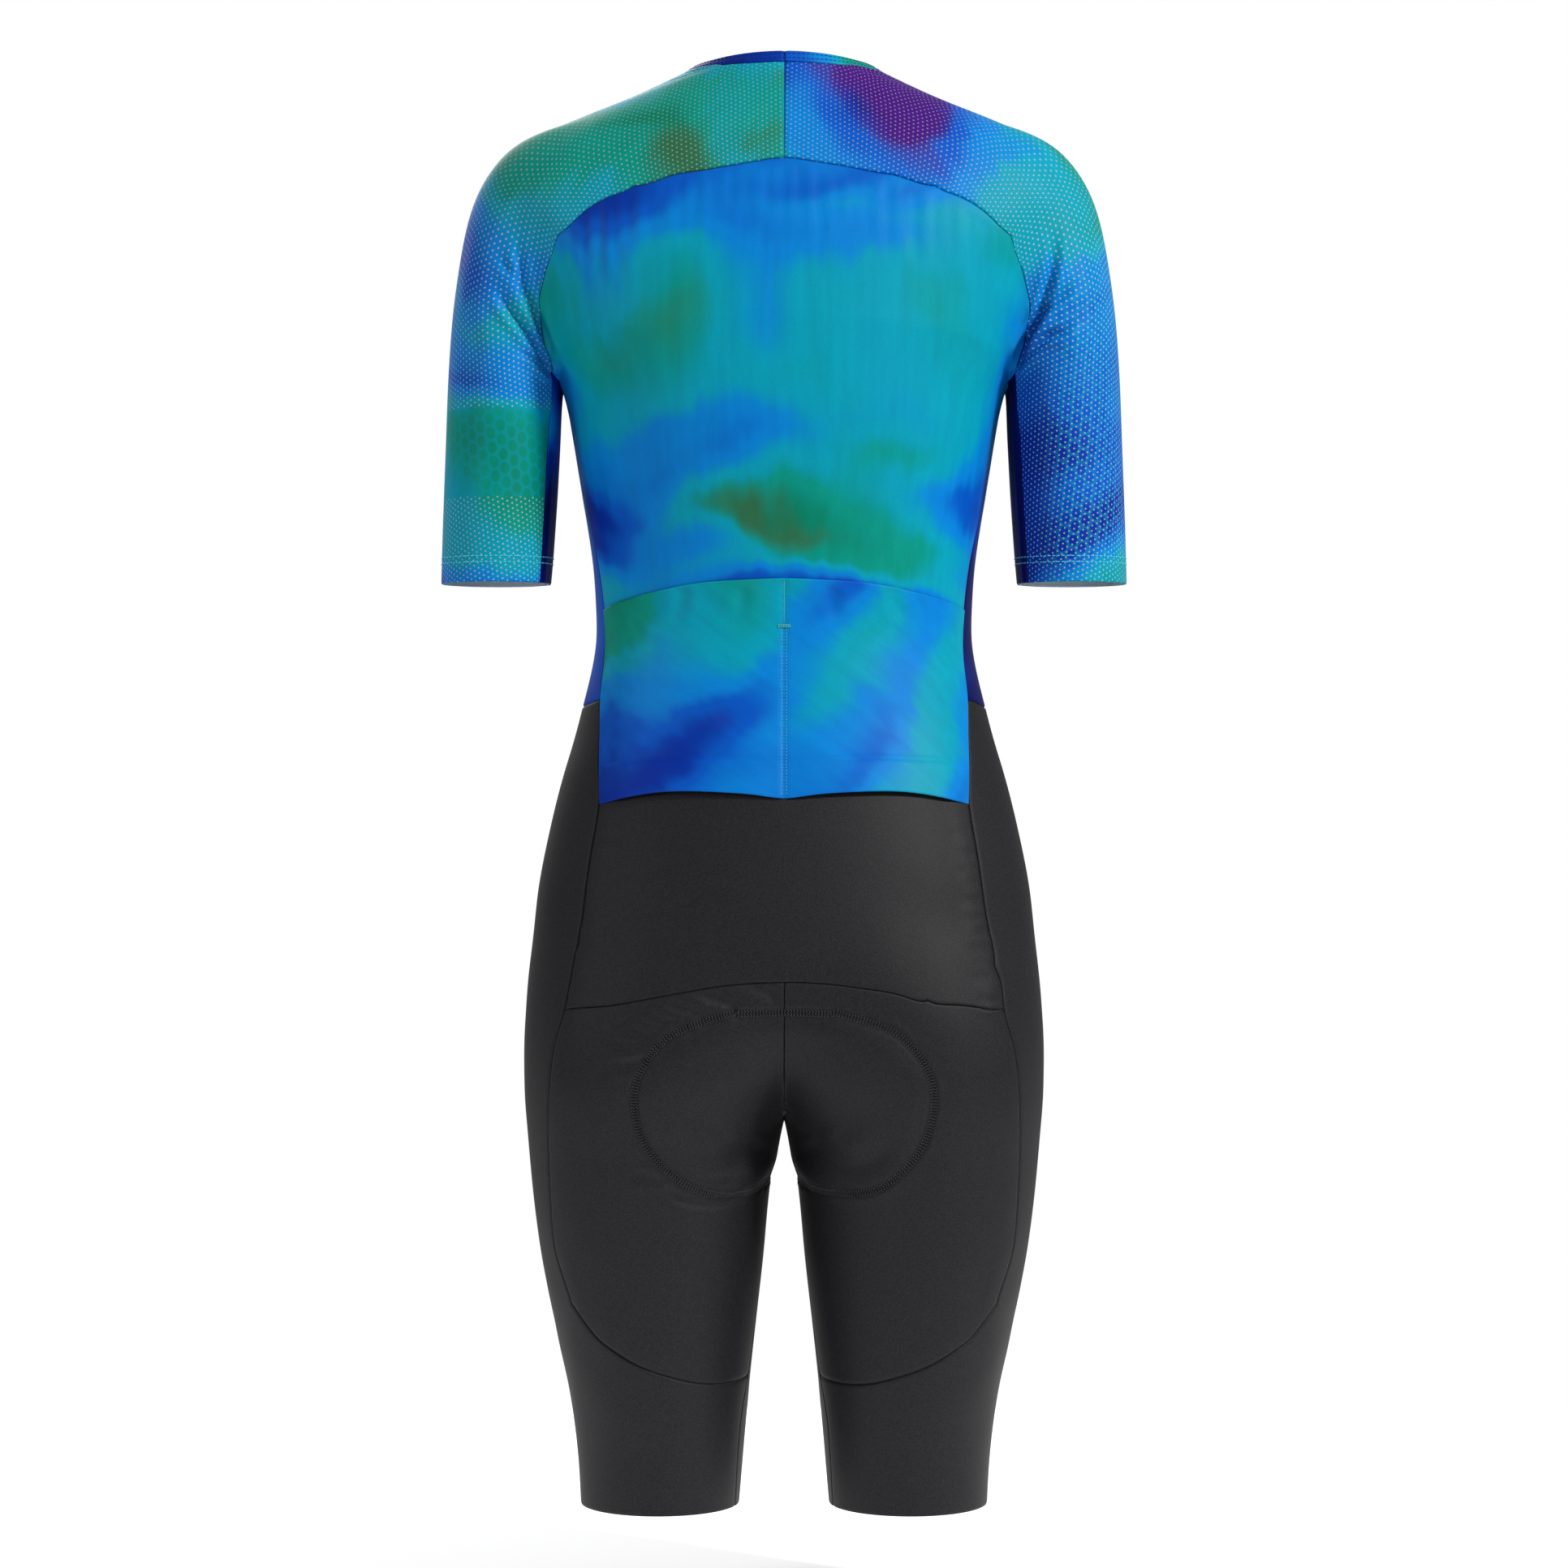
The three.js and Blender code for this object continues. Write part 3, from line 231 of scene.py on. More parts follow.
def outer_skin(node, rank=area_of):
    """A CAD wall's outer skin, as a bmesh. It is the one of the two that ranks higher."""
    skin = cad_copy(node)
    rim = [f for f in skin.faces if min(e.calc_length() for e in f.edges) < RIM_HEIGHT]
    bmesh.ops.delete(skin, geom=rim, context="FACES")
    inner, _ = sorted(islands(skin), key=rank)
    bmesh.ops.delete(skin, geom=inner, context="FACES")
    pair_up(skin, skin.faces)
    return skin


def object_from(name, made):
    """A new object at the origin from a bmesh, which is freed. Normals stored by the CAD model are
    left behind, because with them every fold would be shaded as if it weren't there."""
    mesh = bpy.data.meshes.new(name)
    write_to(mesh, made)
    if "custom_normal" in mesh.attributes:
        mesh.attributes.remove(mesh.attributes["custom_normal"])
    piece = bpy.data.objects.new(name, mesh)
    scene.collection.objects.link(piece)
    return piece


def pick(*objects):
    """Selects just these objects and makes the first one active."""
    bpy.ops.object.select_all(action="DESELECT")
    for one in objects:
        one.select_set(True)
    bpy.context.view_layer.objects.active = objects[0]


def join(objects, name):
    pick(*objects)
    bpy.ops.object.join()
    objects[0].name = name
    return objects[0]


def shade_smooth(piece):
    for face in piece.data.polygons:
        face.use_smooth = True


# %% [markdown]
# ## Even rows
# A smooth surface can only pass through all the CAD points where its rows are of like depth. Beside
# a narrow row it would fold over itself. So the middle row of the neck band goes, and so does the
# narrow row along the pocket's hem. At the foot of the neck band the first deep row of the yoke and
# the fronts is cut in two, and points that crowd the seam are dissolved.

# %% Drop and add rows
CROWDED = 0.005
NECK_REACH = 0.0075
FIRST_ROW = 0.010


def drop_narrow_row(skin):
    """Takes out the row of points that stand close to an open edge."""
    row = {
        v for v in skin.verts
        if not v.is_boundary
        and any(e.calc_length() < CROWDED and e.other_vert(v).is_boundary for e in v.link_edges)
    }
    lengthwise = [
        e for e in skin.edges
        if not e.is_boundary and e.calc_length() > CROWDED
        and any(v in row for v in e.verts) and all(v in row or v.is_boundary for v in e.verts)
    ]
    bmesh.ops.dissolve_edges(skin, edges=lengthwise, use_verts=True)


def curved_between(one, other, share):
    """A point between two vertices, on a curve that is square to both normals."""
    chord = other.co - one.co
    leave = chord - one.normal * chord.dot(one.normal)
    arrive = chord - other.normal * chord.dot(other.normal)
    s, t = 1 - share, share
    ends = one.co * s * s * (1 + 2 * t) + other.co * t * t * (3 - 2 * t)
    return ends + leave * t * s * s - arrive * t * t * s


def even_neck(skin, foot):
    """Evens out the rows of a panel that is sewn to the neck band, whose edge points are foot."""
    gap = {v: np.linalg.norm(foot - np.array(v.co), axis=1).min() for v in skin.verts}
    kept = {v for v in skin.verts if gap[v] < WELD}
    crowd = [v for v in skin.verts if WELD <= gap[v] < NECK_REACH and not v.is_boundary]
    bmesh.ops.dissolve_verts(skin, verts=crowd)
    loose = bmesh.ops.triangulate(skin, faces=[f for f in skin.faces if len(f.verts) > 4])["faces"]
    pair_up(skin, loose, 80)
    skin.normal_update()
    shares, places = {}, []
    for edge in skin.edges:
        one, other = edge.verts
        if (one in kept) == (other in kept) or edge.calc_length() < 1.4 * FIRST_ROW:
            continue
        share = FIRST_ROW / edge.calc_length()
        shares[edge] = share if one in kept else 1 - share
        places.append((one.co.lerp(other.co, shares[edge]), curved_between(one, other, shares[edge])))
    made = bmesh.ops.subdivide_edges(skin, edges=list(shares), cuts=1, edge_percents=shares)
    for vertex in {v for v in made["geom_inner"] if isinstance(v, bmesh.types.BMVert)}:
        vertex.co = min(places, key=lambda place: (place[0] - vertex.co).length)[1]
    print("  at the neck:", len(crowd), "points dissolved,", len(places), "edges cut")


# %% Panels of several walls
collar_edges = []
for side in ("left", "right"):
    strip = outer_skin(f"collar_{side}")
    collar_edges += [tuple(v.co) for v in strip.verts if v.is_boundary]
    strip.free()
collar_edges = np.array(collar_edges)


def panel_skin(panel, nodes):
    """A panel's outer skin as one object. A seam is kept where its own edges are sewn together."""
    parts = []
    for number, node in enumerate(nodes):
        part = outer_skin(node)
        if panel.startswith("collar"):
            drop_narrow_row(part)
        if panel.startswith(("yoke", "front")):
            even_neck(part, collar_edges)
        part.faces.layers.int.new("wall")
        part.edges.layers.int.new("border")
        for face in part.faces:
            face[part.faces.layers.int["wall"]] = number
        for edge in part.edges:
            edge[part.edges.layers.int["border"]] = int(edge.is_boundary)
        parts.append(object_from(node + " skin", part))
    whole = join(parts, panel + " skin") if len(parts) > 1 else parts[0]
    skin = bmesh_of(whole.data)
    bmesh.ops.remove_doubles(skin, verts=skin.verts, dist=WELD)
    wall, border = skin.faces.layers.int["wall"], skin.edges.layers.int["border"]
    for edge in skin.edges:
        walls = [face[wall] for face in edge.link_faces]
        edge.seam = bool(edge[border]) and len(walls) == 2 and walls[0] == walls[1]
    write_to(whole.data, skin)
    return whole


# %% [markdown]
# ## Flat cuts
# Knit, perforations and prints lie on the cloth before it is sewn, so each panel gets a UV map of
# its flat cut, in metres, with up as up. Blender's unwrap does the flattening. The map is scaled
# until its area is the panel's own, and turned until height on the body rises along V.

# %% Unwrap a panel
def flat_cut(piece):
    """Gives the piece its UV map 'cut' and returns the cut's width, length and area."""
    pick(piece)
    while piece.data.uv_layers:
        piece.data.uv_layers.remove(piece.data.uv_layers[0])
    piece.data.uv_layers.new(name="cut")
    bpy.ops.object.mode_set(mode="EDIT")
    bpy.ops.mesh.select_all(action="SELECT")
    bpy.ops.uv.unwrap(method="ANGLE_BASED", margin=0)
    bpy.ops.object.mode_set(mode="OBJECT")
    mesh = piece.data
    uv = np.empty(len(mesh.loops) * 2)
    mesh.uv_layers["cut"].data.foreach_get("uv", uv)
    uv = uv.reshape(-1, 2)
    at = np.array([mesh.vertices[loop.vertex_index].co for loop in mesh.loops])
    area = sum(face.area for face in mesh.polygons)
    uv *= math.sqrt(area / flat_area(mesh, uv))
    slopes, *_ = np.linalg.lstsq(np.c_[uv, np.ones(len(uv))], at[:, 2], rcond=None)
    up = slopes[:2] / np.hypot(*slopes[:2])
    uv = np.c_[uv @ np.array([up[1], -up[0]]), uv @ up]
    uv -= uv.min(0)
    mesh.uv_layers["cut"].data.foreach_set("uv", uv.ravel())
    return (*uv.max(0), area)


def flat_area(mesh, uv):
    total = 0
    for face in mesh.polygons:
        u, v = uv[list(face.loop_indices)].T
        total += abs(np.dot(u, np.roll(v, 1)) - np.dot(v, np.roll(u, 1))) / 2
    return total


# %% Skins, each with its cut and number
skins = []
cuts = {}
for panel, nodes in PANELS.items():
    skin = panel_skin(panel, nodes)
    cuts[panel] = flat_cut(skin)
    labels = skin.data.attributes.new("panel", "INT", "FACE")
    labels.data.foreach_set("value", [NUMBER[panel]] * len(skin.data.polygons))
    skins.append(skin)
    width, length, area = cuts[panel]
    print(f"{panel}: cut {width * 1000:.0f} x {length * 1000:.0f} mm, {area * 1e4:.0f} cm2")

# %% [markdown]
# ## One smooth body
# All skins are joined and welded at the seams, where neighbours stand less than a millimetre
# apart. Subdivision alone would shrink the body, so the cage is moved out step by step until the
# smooth surface passes through the CAD points.

# %% Weld
body = join(skins, "body")
cage = bmesh_of(body.data)
bmesh.ops.remove_doubles(cage, verts=cage.verts, dist=WELD)
print("body cage:", len(cage.faces), "faces,", sum(e.is_boundary for e in cage.edges), "open edges")
write_to(body.data, cage)


# %% Smooth through the CAD points
LEVELS = 3
PULL_STEPS = 5
SIDEWAYS = 0.4


def points_of(mesh):
    at = np.empty(len(mesh.vertices) * 3)
    mesh.vertices.foreach_get("co", at)
    return at.reshape(-1, 3)


def normals_of(mesh):
    normals = np.empty(len(mesh.vertices) * 3)
    mesh.vertex_normals.foreach_get("vector", normals)
    return normals.reshape(-1, 3)


def shortest_edges(mesh, at):
    """The length of the shortest edge at each point."""
    ends = np.array([edge.vertices[:] for edge in mesh.edges])
    lengths = np.linalg.norm(at[ends[:, 0]] - at[ends[:, 1]], axis=1)
    shortest = np.full(len(at), np.inf)
    for column in (0, 1):
        np.minimum.at(shortest, ends[:, column], lengths)
    return shortest


def evaluated(piece):
    """The piece with its modifiers worked out."""
    bpy.context.view_layer.update()
    return piece.evaluated_get(bpy.context.evaluated_depsgraph_get())


def smooth_through(cage, levels):
    """Subdivides cage so that the smooth surface keeps the cage's own points. No point of the cage
    moves sideways by more than a share of its shortest edge, so rows never cross."""
    wanted, upright = points_of(cage.data), normals_of(cage.data)
    room = SIDEWAYS * shortest_edges(cage.data, wanted)
    subdivide = cage.modifiers.new("subdivide", "SUBSURF")
    subdivide.levels = subdivide.render_levels = levels
    subdivide.boundary_smooth = "PRESERVE_CORNERS"
    subdivide.uv_smooth = "PRESERVE_BOUNDARIES"
    for _ in range(PULL_STEPS):
        missed = wanted - points_of(evaluated(cage).data)[:len(wanted)]
        moved = points_of(cage.data) + missed - wanted
        outward = upright * (moved * upright).sum(1)[:, None]
        sideways = moved - outward
        length = np.maximum(np.linalg.norm(sideways, axis=1), 1e-9)
        moved = outward + sideways * np.minimum(1, room / length)[:, None]
        cage.data.vertices.foreach_set("co", (wanted + moved).ravel())
        cage.data.update()
        print("  largest miss, mm:", round(float(np.linalg.norm(missed, axis=1).max()) * 1000, 3))
    smooth = bpy.data.meshes.new_from_object(evaluated(cage))
    cage.modifiers.clear()
    cage.data = smooth
    return cage


smooth_through(body, LEVELS)
print("smooth body:", len(body.data.vertices), "points")

# %% [markdown]
# ## Folds
# Cloth this tight only creases where it is squeezed: under the arms, beside seams and round the
# seat pad. A cloth simulation would move the whole suit to get those few creases, so each one is a
# curve drawn over the body instead. The points near it sink into a soft trough, and the cloth that
# leaves the trough stands up beside it as a ridge.

# %% Curves
def smooth_line(stops, steps=10):
    """Points along a smooth curve through a few stops."""
    stops = np.array(stops, float)
    stops = np.vstack([2 * stops[0] - stops[1], stops, 2 * stops[-1] - stops[-2]])
    line = [stops[1]]
    for a, b, c, d in zip(stops, stops[1:], stops[2:], stops[3:]):
        for t in np.linspace(0, 1, steps + 1)[1:]:
            bend = (2 * a - 5 * b + 4 * c - d) * t**2 + (3 * b - a - 3 * c + d) * t**3
            line.append((2 * b + (c - a) * t + bend) / 2)
    return np.array(line)


def nearest_on(line, at):
    """For each point: the way to it from the line, the line's course there, and how far along."""
    steps = np.diff(line, axis=0)
    lengths = np.linalg.norm(steps, axis=1)
    runs = np.r_[0, np.cumsum(lengths)]
    best = np.full(len(at), np.inf)
    offset, course, along = np.zeros_like(at), np.zeros_like(at), np.zeros(len(at))
    for start, step, length, run in zip(line, steps, lengths, runs):
        t = np.clip((at - start) @ step / length**2, 0, 1)
        away = at - start - t[:, None] * step
        distance = (away**2).sum(1)
        closer = distance < best
        best[closer] = distance[closer]
        offset[closer] = away[closer]
        course[closer] = step / length
        along[closer] = (run + t[closer] * length) / runs[-1]
    return offset, course, along


def smoothstep(value):
    value = np.clip(value, 0, 1)
    return value * value * (3 - 2 * value)


# %% Press folds into the body
FOLD_STRENGTH = 1.5
RIDGE_HEIGHT, RIDGE_PLACE = 0.55, 1.8


def fold(facing, width, depth, lean, stops, fade=(0.4, 0.12)):
    """One crease in millimetres, drawn by x and z as seen from behind (1) or in front (-1)."""
    line = smooth_line(np.array(stops) / 1000)
    flat = at[:, [0, 2]]
    room = 0.004 * width
    near = (flat > line.min(0) - room).all(1) & (flat < line.max(0) + room).all(1)
    near = np.flatnonzero(near & (out[:, 1] * facing > 0))
    offset, course, along = nearest_on(line, flat[near])
    across = (course[:, 0] * offset[:, 1] - course[:, 1] * offset[:, 0]) / (width / 1000)
    reach = np.abs(across)
    ridge = RIDGE_HEIGHT * np.exp(-((reach - RIDGE_PLACE) ** 2))
    shape = ridge - np.exp(-(reach**2)) + lean * across * np.exp(-(reach**2) / 2)
    ends = smoothstep(along / fade[0]) * smoothstep((1 - along) / fade[1])
    turned = smoothstep(out[near, 1] * facing / 0.4)
    at[near] += out[near] * (FOLD_STRENGTH * depth / 1000 * shape * ends * turned)[:, None]


CREASED = ((0.136, 0.196, -0.215, -0.085), (0.0, 0.122, -0.725, -0.57))
FOLDS = [
    # facing, width, depth, lean, then stops from the faint end to the deep end
    # behind the left arm
    (1, 3.0, 2.0, 0.7, [(168, -103), (166, -130), (159, -151), (147, -184)]),
    (1, 3.0, 2.2, 0.7, [(185, -136), (174, -154), (163, -168), (147, -191)]),
    (1, 2.6, 1.7, 0.5, [(168, -179), (157, -185), (146, -195)]),
    (1, 2.8, 1.0, 0.6, [(181, -118), (172, -132), (163, -148)]),
    # behind the right arm
    (1, 3.0, 2.2, -0.8, [(-172, -98), (-171, -121), (-163, -153), (-147, -186)]),
    (1, 3.0, 2.2, -0.8, [(-188, -134), (-175, -146), (-162, -158), (-146, -187)]),
    (1, 3.0, 1.8, -0.7, [(-188, -157), (-176, -168), (-163, -173), (-146, -190)]),
    # in front of each arm
    (-1, 4.0, 1.6, -0.6, [(170, -110), (163, -135), (155, -158), (147, -188)]),
    (-1, 4.0, 1.3, -0.6, [(186, -150), (172, -165), (158, -178), (147, -192)]),
    (-1, 4.0, 1.6, 0.6, [(-169, -108), (-162, -136), (-155, -160), (-147, -188)]),
    (-1, 4.0, 1.2, 0.6, [(-185, -154), (-171, -168), (-157, -180), (-147, -192)]),
    # above and beside the pad
    (1, 3.6, 0.6, 0.5, [(30, -576), (17, -579), (4, -585)]),
    (1, 3.6, 0.8, 0.5, [(60, -582), (44, -585), (28, -592)]),
    (1, 3.6, 0.85, 0.5, [(78, -589), (64, -592), (48, -597)]),
    (1, 3.6, 0.9, 0.5, [(90, -597), (74, -600), (57, -601)]),
    (1, 3.6, 0.9, 0.5, [(104, -605), (87, -607), (72, -607)]),
    (1, 3.6, 0.95, 0.5, [(118, -613), (98, -615), (77, -612)]),
    (1, 3.6, 0.7, 0.5, [(108, -626), (95, -626), (84, -622)]),
    # under the pad
    (1, 3.6, 1.1, -0.5, [(90, -705), (73, -707), (57, -712), (40, -713), (20, -709)]),
    (1, 3.4, 0.8, -0.5, [(94, -692), (84, -697), (74, -701)]),
    (1, 8.0, 1.7, 0.0, [(70, -665), (60, -682), (45, -691), (28, -688), (14, -676)]),
    (1, 8.0, 1.7, 0.0, [(-70, -665), (-60, -682), (-45, -691), (-28, -688), (-14, -676)]),
    # in front of the fork
    (-1, 4.0, 1.0, 0.4, [(44, -622), (26, -636), (9, -650)]),
    (-1, 4.0, 1.0, -0.4, [(-46, -626), (-27, -639), (-9, -652)]),
    (-1, 5.0, 0.9, 0.3, [(86, -600), (60, -612), (30, -622)]),
    (-1, 5.0, 0.8, -0.3, [(-90, -604), (-62, -616), (-32, -626)]),
]


def is_creased(point):
    return any(a <= abs(point.x) <= b and c <= point.z <= d for a, b, c, d in CREASED)


fine = bmesh_of(body.data)
edges = {edge for face in fine.faces if is_creased(face.calc_center_median()) for edge in face.edges}
bmesh.ops.subdivide_edges(fine, edges=list(edges), cuts=1, use_grid_fill=True)
write_to(body.data, fine)
at, out = points_of(body.data), normals_of(body.data)
print(len(edges), "edges cut in the creased places")
for row in FOLDS:
    fold(*row)
print(len(FOLDS), "folds")

# %% Small ripples and puckers
chance = np.random.default_rng(7)
YOKE_SEAM = [
    (-154, -143), (-123, -94), (-101, -82), (-59, -71.5), (0, -62),
    (59, -71.5), (101, -82), (123, -94), (154, -143),
]
for x in np.arange(-126, 134, 10.5):
    x += chance.uniform(-2.5, 2.5)
    top = np.interp(x, *np.transpose(YOKE_SEAM)) - 2
    depth = chance.uniform(0.12, 0.28) + 0.3 * math.exp(-(((x - 108) / 26) ** 2))
    drift = chance.uniform(-3, 3)
    fold(1, 3.4, depth, 0.3, [(x + drift, top - chance.uniform(36, 60)), (x, top - 20), (x, top)])

SIDE_SEAM = [(-593, 136), (-545, 129), (-502, 120), (-465, 114)]
for side in (1, -1):
    for z in np.arange(-588, -478, 8.5):
        z += chance.uniform(-3, 3)
        x = np.interp(z, *np.transpose(SIDE_SEAM))
        reach = chance.uniform(9, 20)
        stops = [(x - reach, z + chance.uniform(-2, 2)), (x - reach / 2, z - 1), (x + 2, z)]
        stops = [(side * a, b) for a, b in stops]
        fold(1, 3.0, chance.uniform(0.12, 0.45), 0.4, stops, fade=(0.4, 0.3))
print("ripples under the yoke seam and puckers at the side seams pressed")

# %% [markdown]
# ## The pad shows through
# The seat pad is sewn in from inside with a flat band of stitches. Outside we see its outline as a
# shallow groove, with the cloth inside it pushed out a little. The outline is the rim of the pad's
# own CAD solid, carried out to the cloth.

# %% Pad outline
def tree_of(mesh):
    return BVHTree.FromPolygons([v.co for v in mesh.vertices], [f.vertices for f in mesh.polygons])


def rim_points(skin):
    """The points round the one open edge of a bmesh, in order."""
    edge = next(e for e in skin.edges if e.is_boundary)
    points = [edge.verts[0]]
    while edge.other_vert(points[-1]) is not points[0]:
        points.append(edge.other_vert(points[-1]))
        edge = next(e for e in points[-1].link_edges if e.is_boundary and e is not edge)
    return [v.co.copy() for v in points]


def moved_body():
    """Writes the moved points back to the body."""
    body.data.vertices.foreach_set("co", at.ravel())
    body.data.update()
    return tree_of(body.data)


def away_from_cloth(faces):
    return sum(cloth.find_nearest(face.calc_center_median())[3] for face in faces)


cloth = moved_body()
pad_skin = outer_skin("seat_pad", rank=lambda faces: -away_from_cloth(faces))
pad_tree = BVHTree.FromBMesh(pad_skin)
stops = [cloth.find_nearest(point)[0] for point in rim_points(pad_skin)]
pad_skin.free()
pad_line = smooth_line(stops[-2:] + stops + stops[:2], steps=6)[12:-6]
pad_line = np.array([cloth.find_nearest(Vector(point))[0] for point in pad_line])
outline = float(np.linalg.norm(np.diff(pad_line, axis=0), axis=1).sum())
print("pad outline:", round(outline * 1000), "mm round")

# %% Groove and swell
BAND = 0.0026
BAND_SINK = 0.0009
PAD_REACH = 0.0068
SWELL, SWELL_RISE = 0.0018, 0.014
low, high = pad_line.min(0) - 0.02, pad_line.max(0) + 0.02
near = np.flatnonzero(((at > low) & (at < high)).all(1))
distance = np.linalg.norm(nearest_on(pad_line, at[near])[0], axis=1)
inside = np.array([pad_tree.find_nearest(Vector(point))[3] < PAD_REACH for point in at[near]])
swell = SWELL * smoothstep(distance / SWELL_RISE) * inside
under_thread = np.exp(-((distance / BAND) ** 4))
at[near] += out[near] * (swell - BAND_SINK * under_thread)[:, None]
# Painted shade: the groove's share is kept on the body as the point attribute 'band', and the black
# knit's colour is darkened by it where shade falls in the groove.
painted_groove_shade = np.zeros(len(at))
painted_groove_shade[near] = under_thread
body.data.attributes.new("band", "FLOAT", "POINT").data.foreach_set("value", painted_groove_shade)
cloth = moved_body()
print(int(inside.sum()), "points lie over the pad")

# %% [markdown]
# ## Back to panels
# The body is now cut where two panels meet, and where one panel meets itself down the inner leg.
# Every panel gets a narrow border all round. Where the border was sewn its edge sinks nearly a
# millimetre, so a seam reads as a fine dark groove, and along open hems it only turns over.

# %% Cut at the seams
BORDER = 0.0013
SEAM_DEPTH = 0.0008
HEM_TURN = 0.00025
whole = bmesh_of(body.data)
label = whole.faces.layers.int["panel"]
cut_map = whole.loops.layers.uv["cut"]
sewn = whole.verts.layers.float.new("sewn")


def is_seam(edge):
    if len(edge.link_loops) != 2:
        return False
    one, other = edge.link_loops
    if one.face[label] != other.face[label]:
        return True
    return (one[cut_map].uv - other.link_loop_next[cut_map].uv).length > 1e-4


def keep_normals(mesh):
    """Writes every point's normal down, so that both sides of a later cut can sink the same way."""
    mesh.normal_update()
    kept = mesh.verts.layers.float_vector.new("old normal")
    for vertex in mesh.verts:
        vertex[kept] = vertex.normal


keep_normals(whole)
seams = [edge for edge in whole.edges if is_seam(edge)]
for edge in seams:
    for vertex in edge.verts:
        vertex[sewn] = 1
bmesh.ops.split_edges(whole, edges=seams)
print(len(seams), "seam edges,", round(sum(e.calc_length() for e in seams) * 100), "cm of seams")


# %% Borders
def give_border(mesh, depth_of):
    """Cuts a narrow row of faces along a bmesh's open edges, then sinks each edge point."""
    old_normal = mesh.verts.layers.float_vector["old normal"]
    shares = {}
    for edge in mesh.edges:
        first, second = edge.verts
        if first.is_boundary != second.is_boundary:
            share = min(BORDER / edge.calc_length(), 0.45)
            shares[edge] = share if first.is_boundary else 1 - share
    bmesh.ops.subdivide_edges(mesh, edges=list(shares), cuts=1, edge_percents=shares)
    for vertex in mesh.verts:
        if vertex.is_boundary:
            vertex.co -= vertex[old_normal] * depth_of(vertex)


give_border(whole, lambda vertex: SEAM_DEPTH if vertex[sewn] else HEM_TURN)
print("boundary kept:", sum(v.is_boundary for v in whole.verts), "points")
write_to(body.data, whole)
shade_smooth(body)

# %% One object for each panel
pick(body)
bpy.ops.mesh.separate(type="LOOSE")
names = list(PANELS)
panels = {}
for piece in list(bpy.context.selected_objects):
    panel = names[piece.data.attributes["panel"].data[0].value]
    piece.name = piece.data.name = panel.replace("_panel", "") + "_cloth"
    panels[panel] = piece
print({panel: len(piece.data.polygons) for panel, piece in panels.items()})

# %% [markdown]
# ## Back pockets
# The pockets are one more panel laid on the lower back. Its mouth and its bottom hem are free
# edges, its sides go into the side seams, and a row of stitches down the middle makes two pockets
# of it. The bottom is folded up into a hem about 25 mm deep, which shows as a line where the fold
# ends.

# %% Pocket cloth
# in millimetres: the pocket's side edge by height, and the height of the hem's fold by distance
POCKET_SIDE = ((-466, -405, -360, -340), (110, 112, 115, 119))
HEM_FOLD = ((0, 60, 118), (-438.5, -436, -439))
SIDE_SINK, SIDE_REACH = 0.7, 9
CENTRE_SINK, CENTRE_WAVE, CENTRE_WIDTH = 0.75, 0.15, 2.2
FOLD_SINK, FOLD_WIDTH, HEM_RISE = 0.55, 1.5, 0.35
HEM_END, HEM_FADE = 116, 5
POCKET_TURN = 0.0003
pocket_skin = outer_skin("pocket_panel", rank=away_from_cloth)
drop_narrow_row(pocket_skin)
pocket = object_from("pocket_cloth", pocket_skin)
cuts["pocket_panel"] = flat_cut(pocket)
smooth_through(pocket, 4)
at, out = points_of(pocket.data), normals_of(pocket.data)
across, height = at[:, 0] * 1000, at[:, 2] * 1000
side = np.interp(height, *POCKET_SIDE)
sunk = SIDE_SINK * smoothstep(1 - (side - np.abs(across)) / SIDE_REACH)
centre = np.exp(-((across / CENTRE_WIDTH) ** 2))
sunk += centre * (CENTRE_SINK + CENTRE_WAVE * np.sin(height * 1.3))
hem = height - np.interp(np.abs(across), *HEM_FOLD)
hem_line = FOLD_SINK * np.exp(-((hem / FOLD_WIDTH) ** 2)) - HEM_RISE * smoothstep(-hem / 2)
sunk += hem_line * smoothstep((HEM_END - np.abs(across)) / HEM_FADE)
at -= out * (sunk / 1000)[:, None]
for x in (26, -31, 64, -70):
    fold(1, 4.5, 0.5, 0.3, [(x * 1.1, -352), (x, -338), (x, -329)])
pocket.data.vertices.foreach_set("co", at.ravel())
bordered = bmesh_of(pocket.data)
keep_normals(bordered)
give_border(bordered, lambda vertex: POCKET_TURN)
write_to(pocket.data, bordered)
shade_smooth(pocket)
pocket_tree = tree_of(pocket.data)
pocket_cut = [round(x * 1000) for x in cuts["pocket_panel"][:2]]
print("pocket:", pocket_cut, "mm,", len(pocket.data.polygons), "faces")

# %% [markdown]
# ## Walls of cloth
# Each panel gets its thickness from a Solidify modifier that grows inwards, so the outer face
# stays where it was moulded. For every panel the size of its flat cut is worked out and printed. The
# knit was cut about 7% smaller than it is worn, because it is stretched over the body. The neck
# band is a straight strip folded double.

# %% Thickness and flat sizes
CLOTH = 0.0009
STRETCH = 1.08
NECK_BAND = 0.0086
panels["pocket_panel"] = pocket
for panel, piece in panels.items():
    wall = piece.modifiers.new("cloth", "SOLIDIFY")
    wall.thickness = CLOTH
    wall.offset = -1
    wall.material_offset = 1
    wall.use_rim = True
    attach(piece, "suit")
    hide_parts(*PANELS.get(panel, (panel,)))
    width, length, area = (cuts[panel][i] / STRETCH ** (1, 1, 2)[i] for i in range(3))
    if panel.startswith("collar"):
        width, length = area / NECK_BAND, 2 * NECK_BAND / STRETCH
        area = width * length
    print(f"{panel}: flat {width * 1000:.0f} x {length * 1000:.0f} mm, {area * 1e4:.0f} cm2")

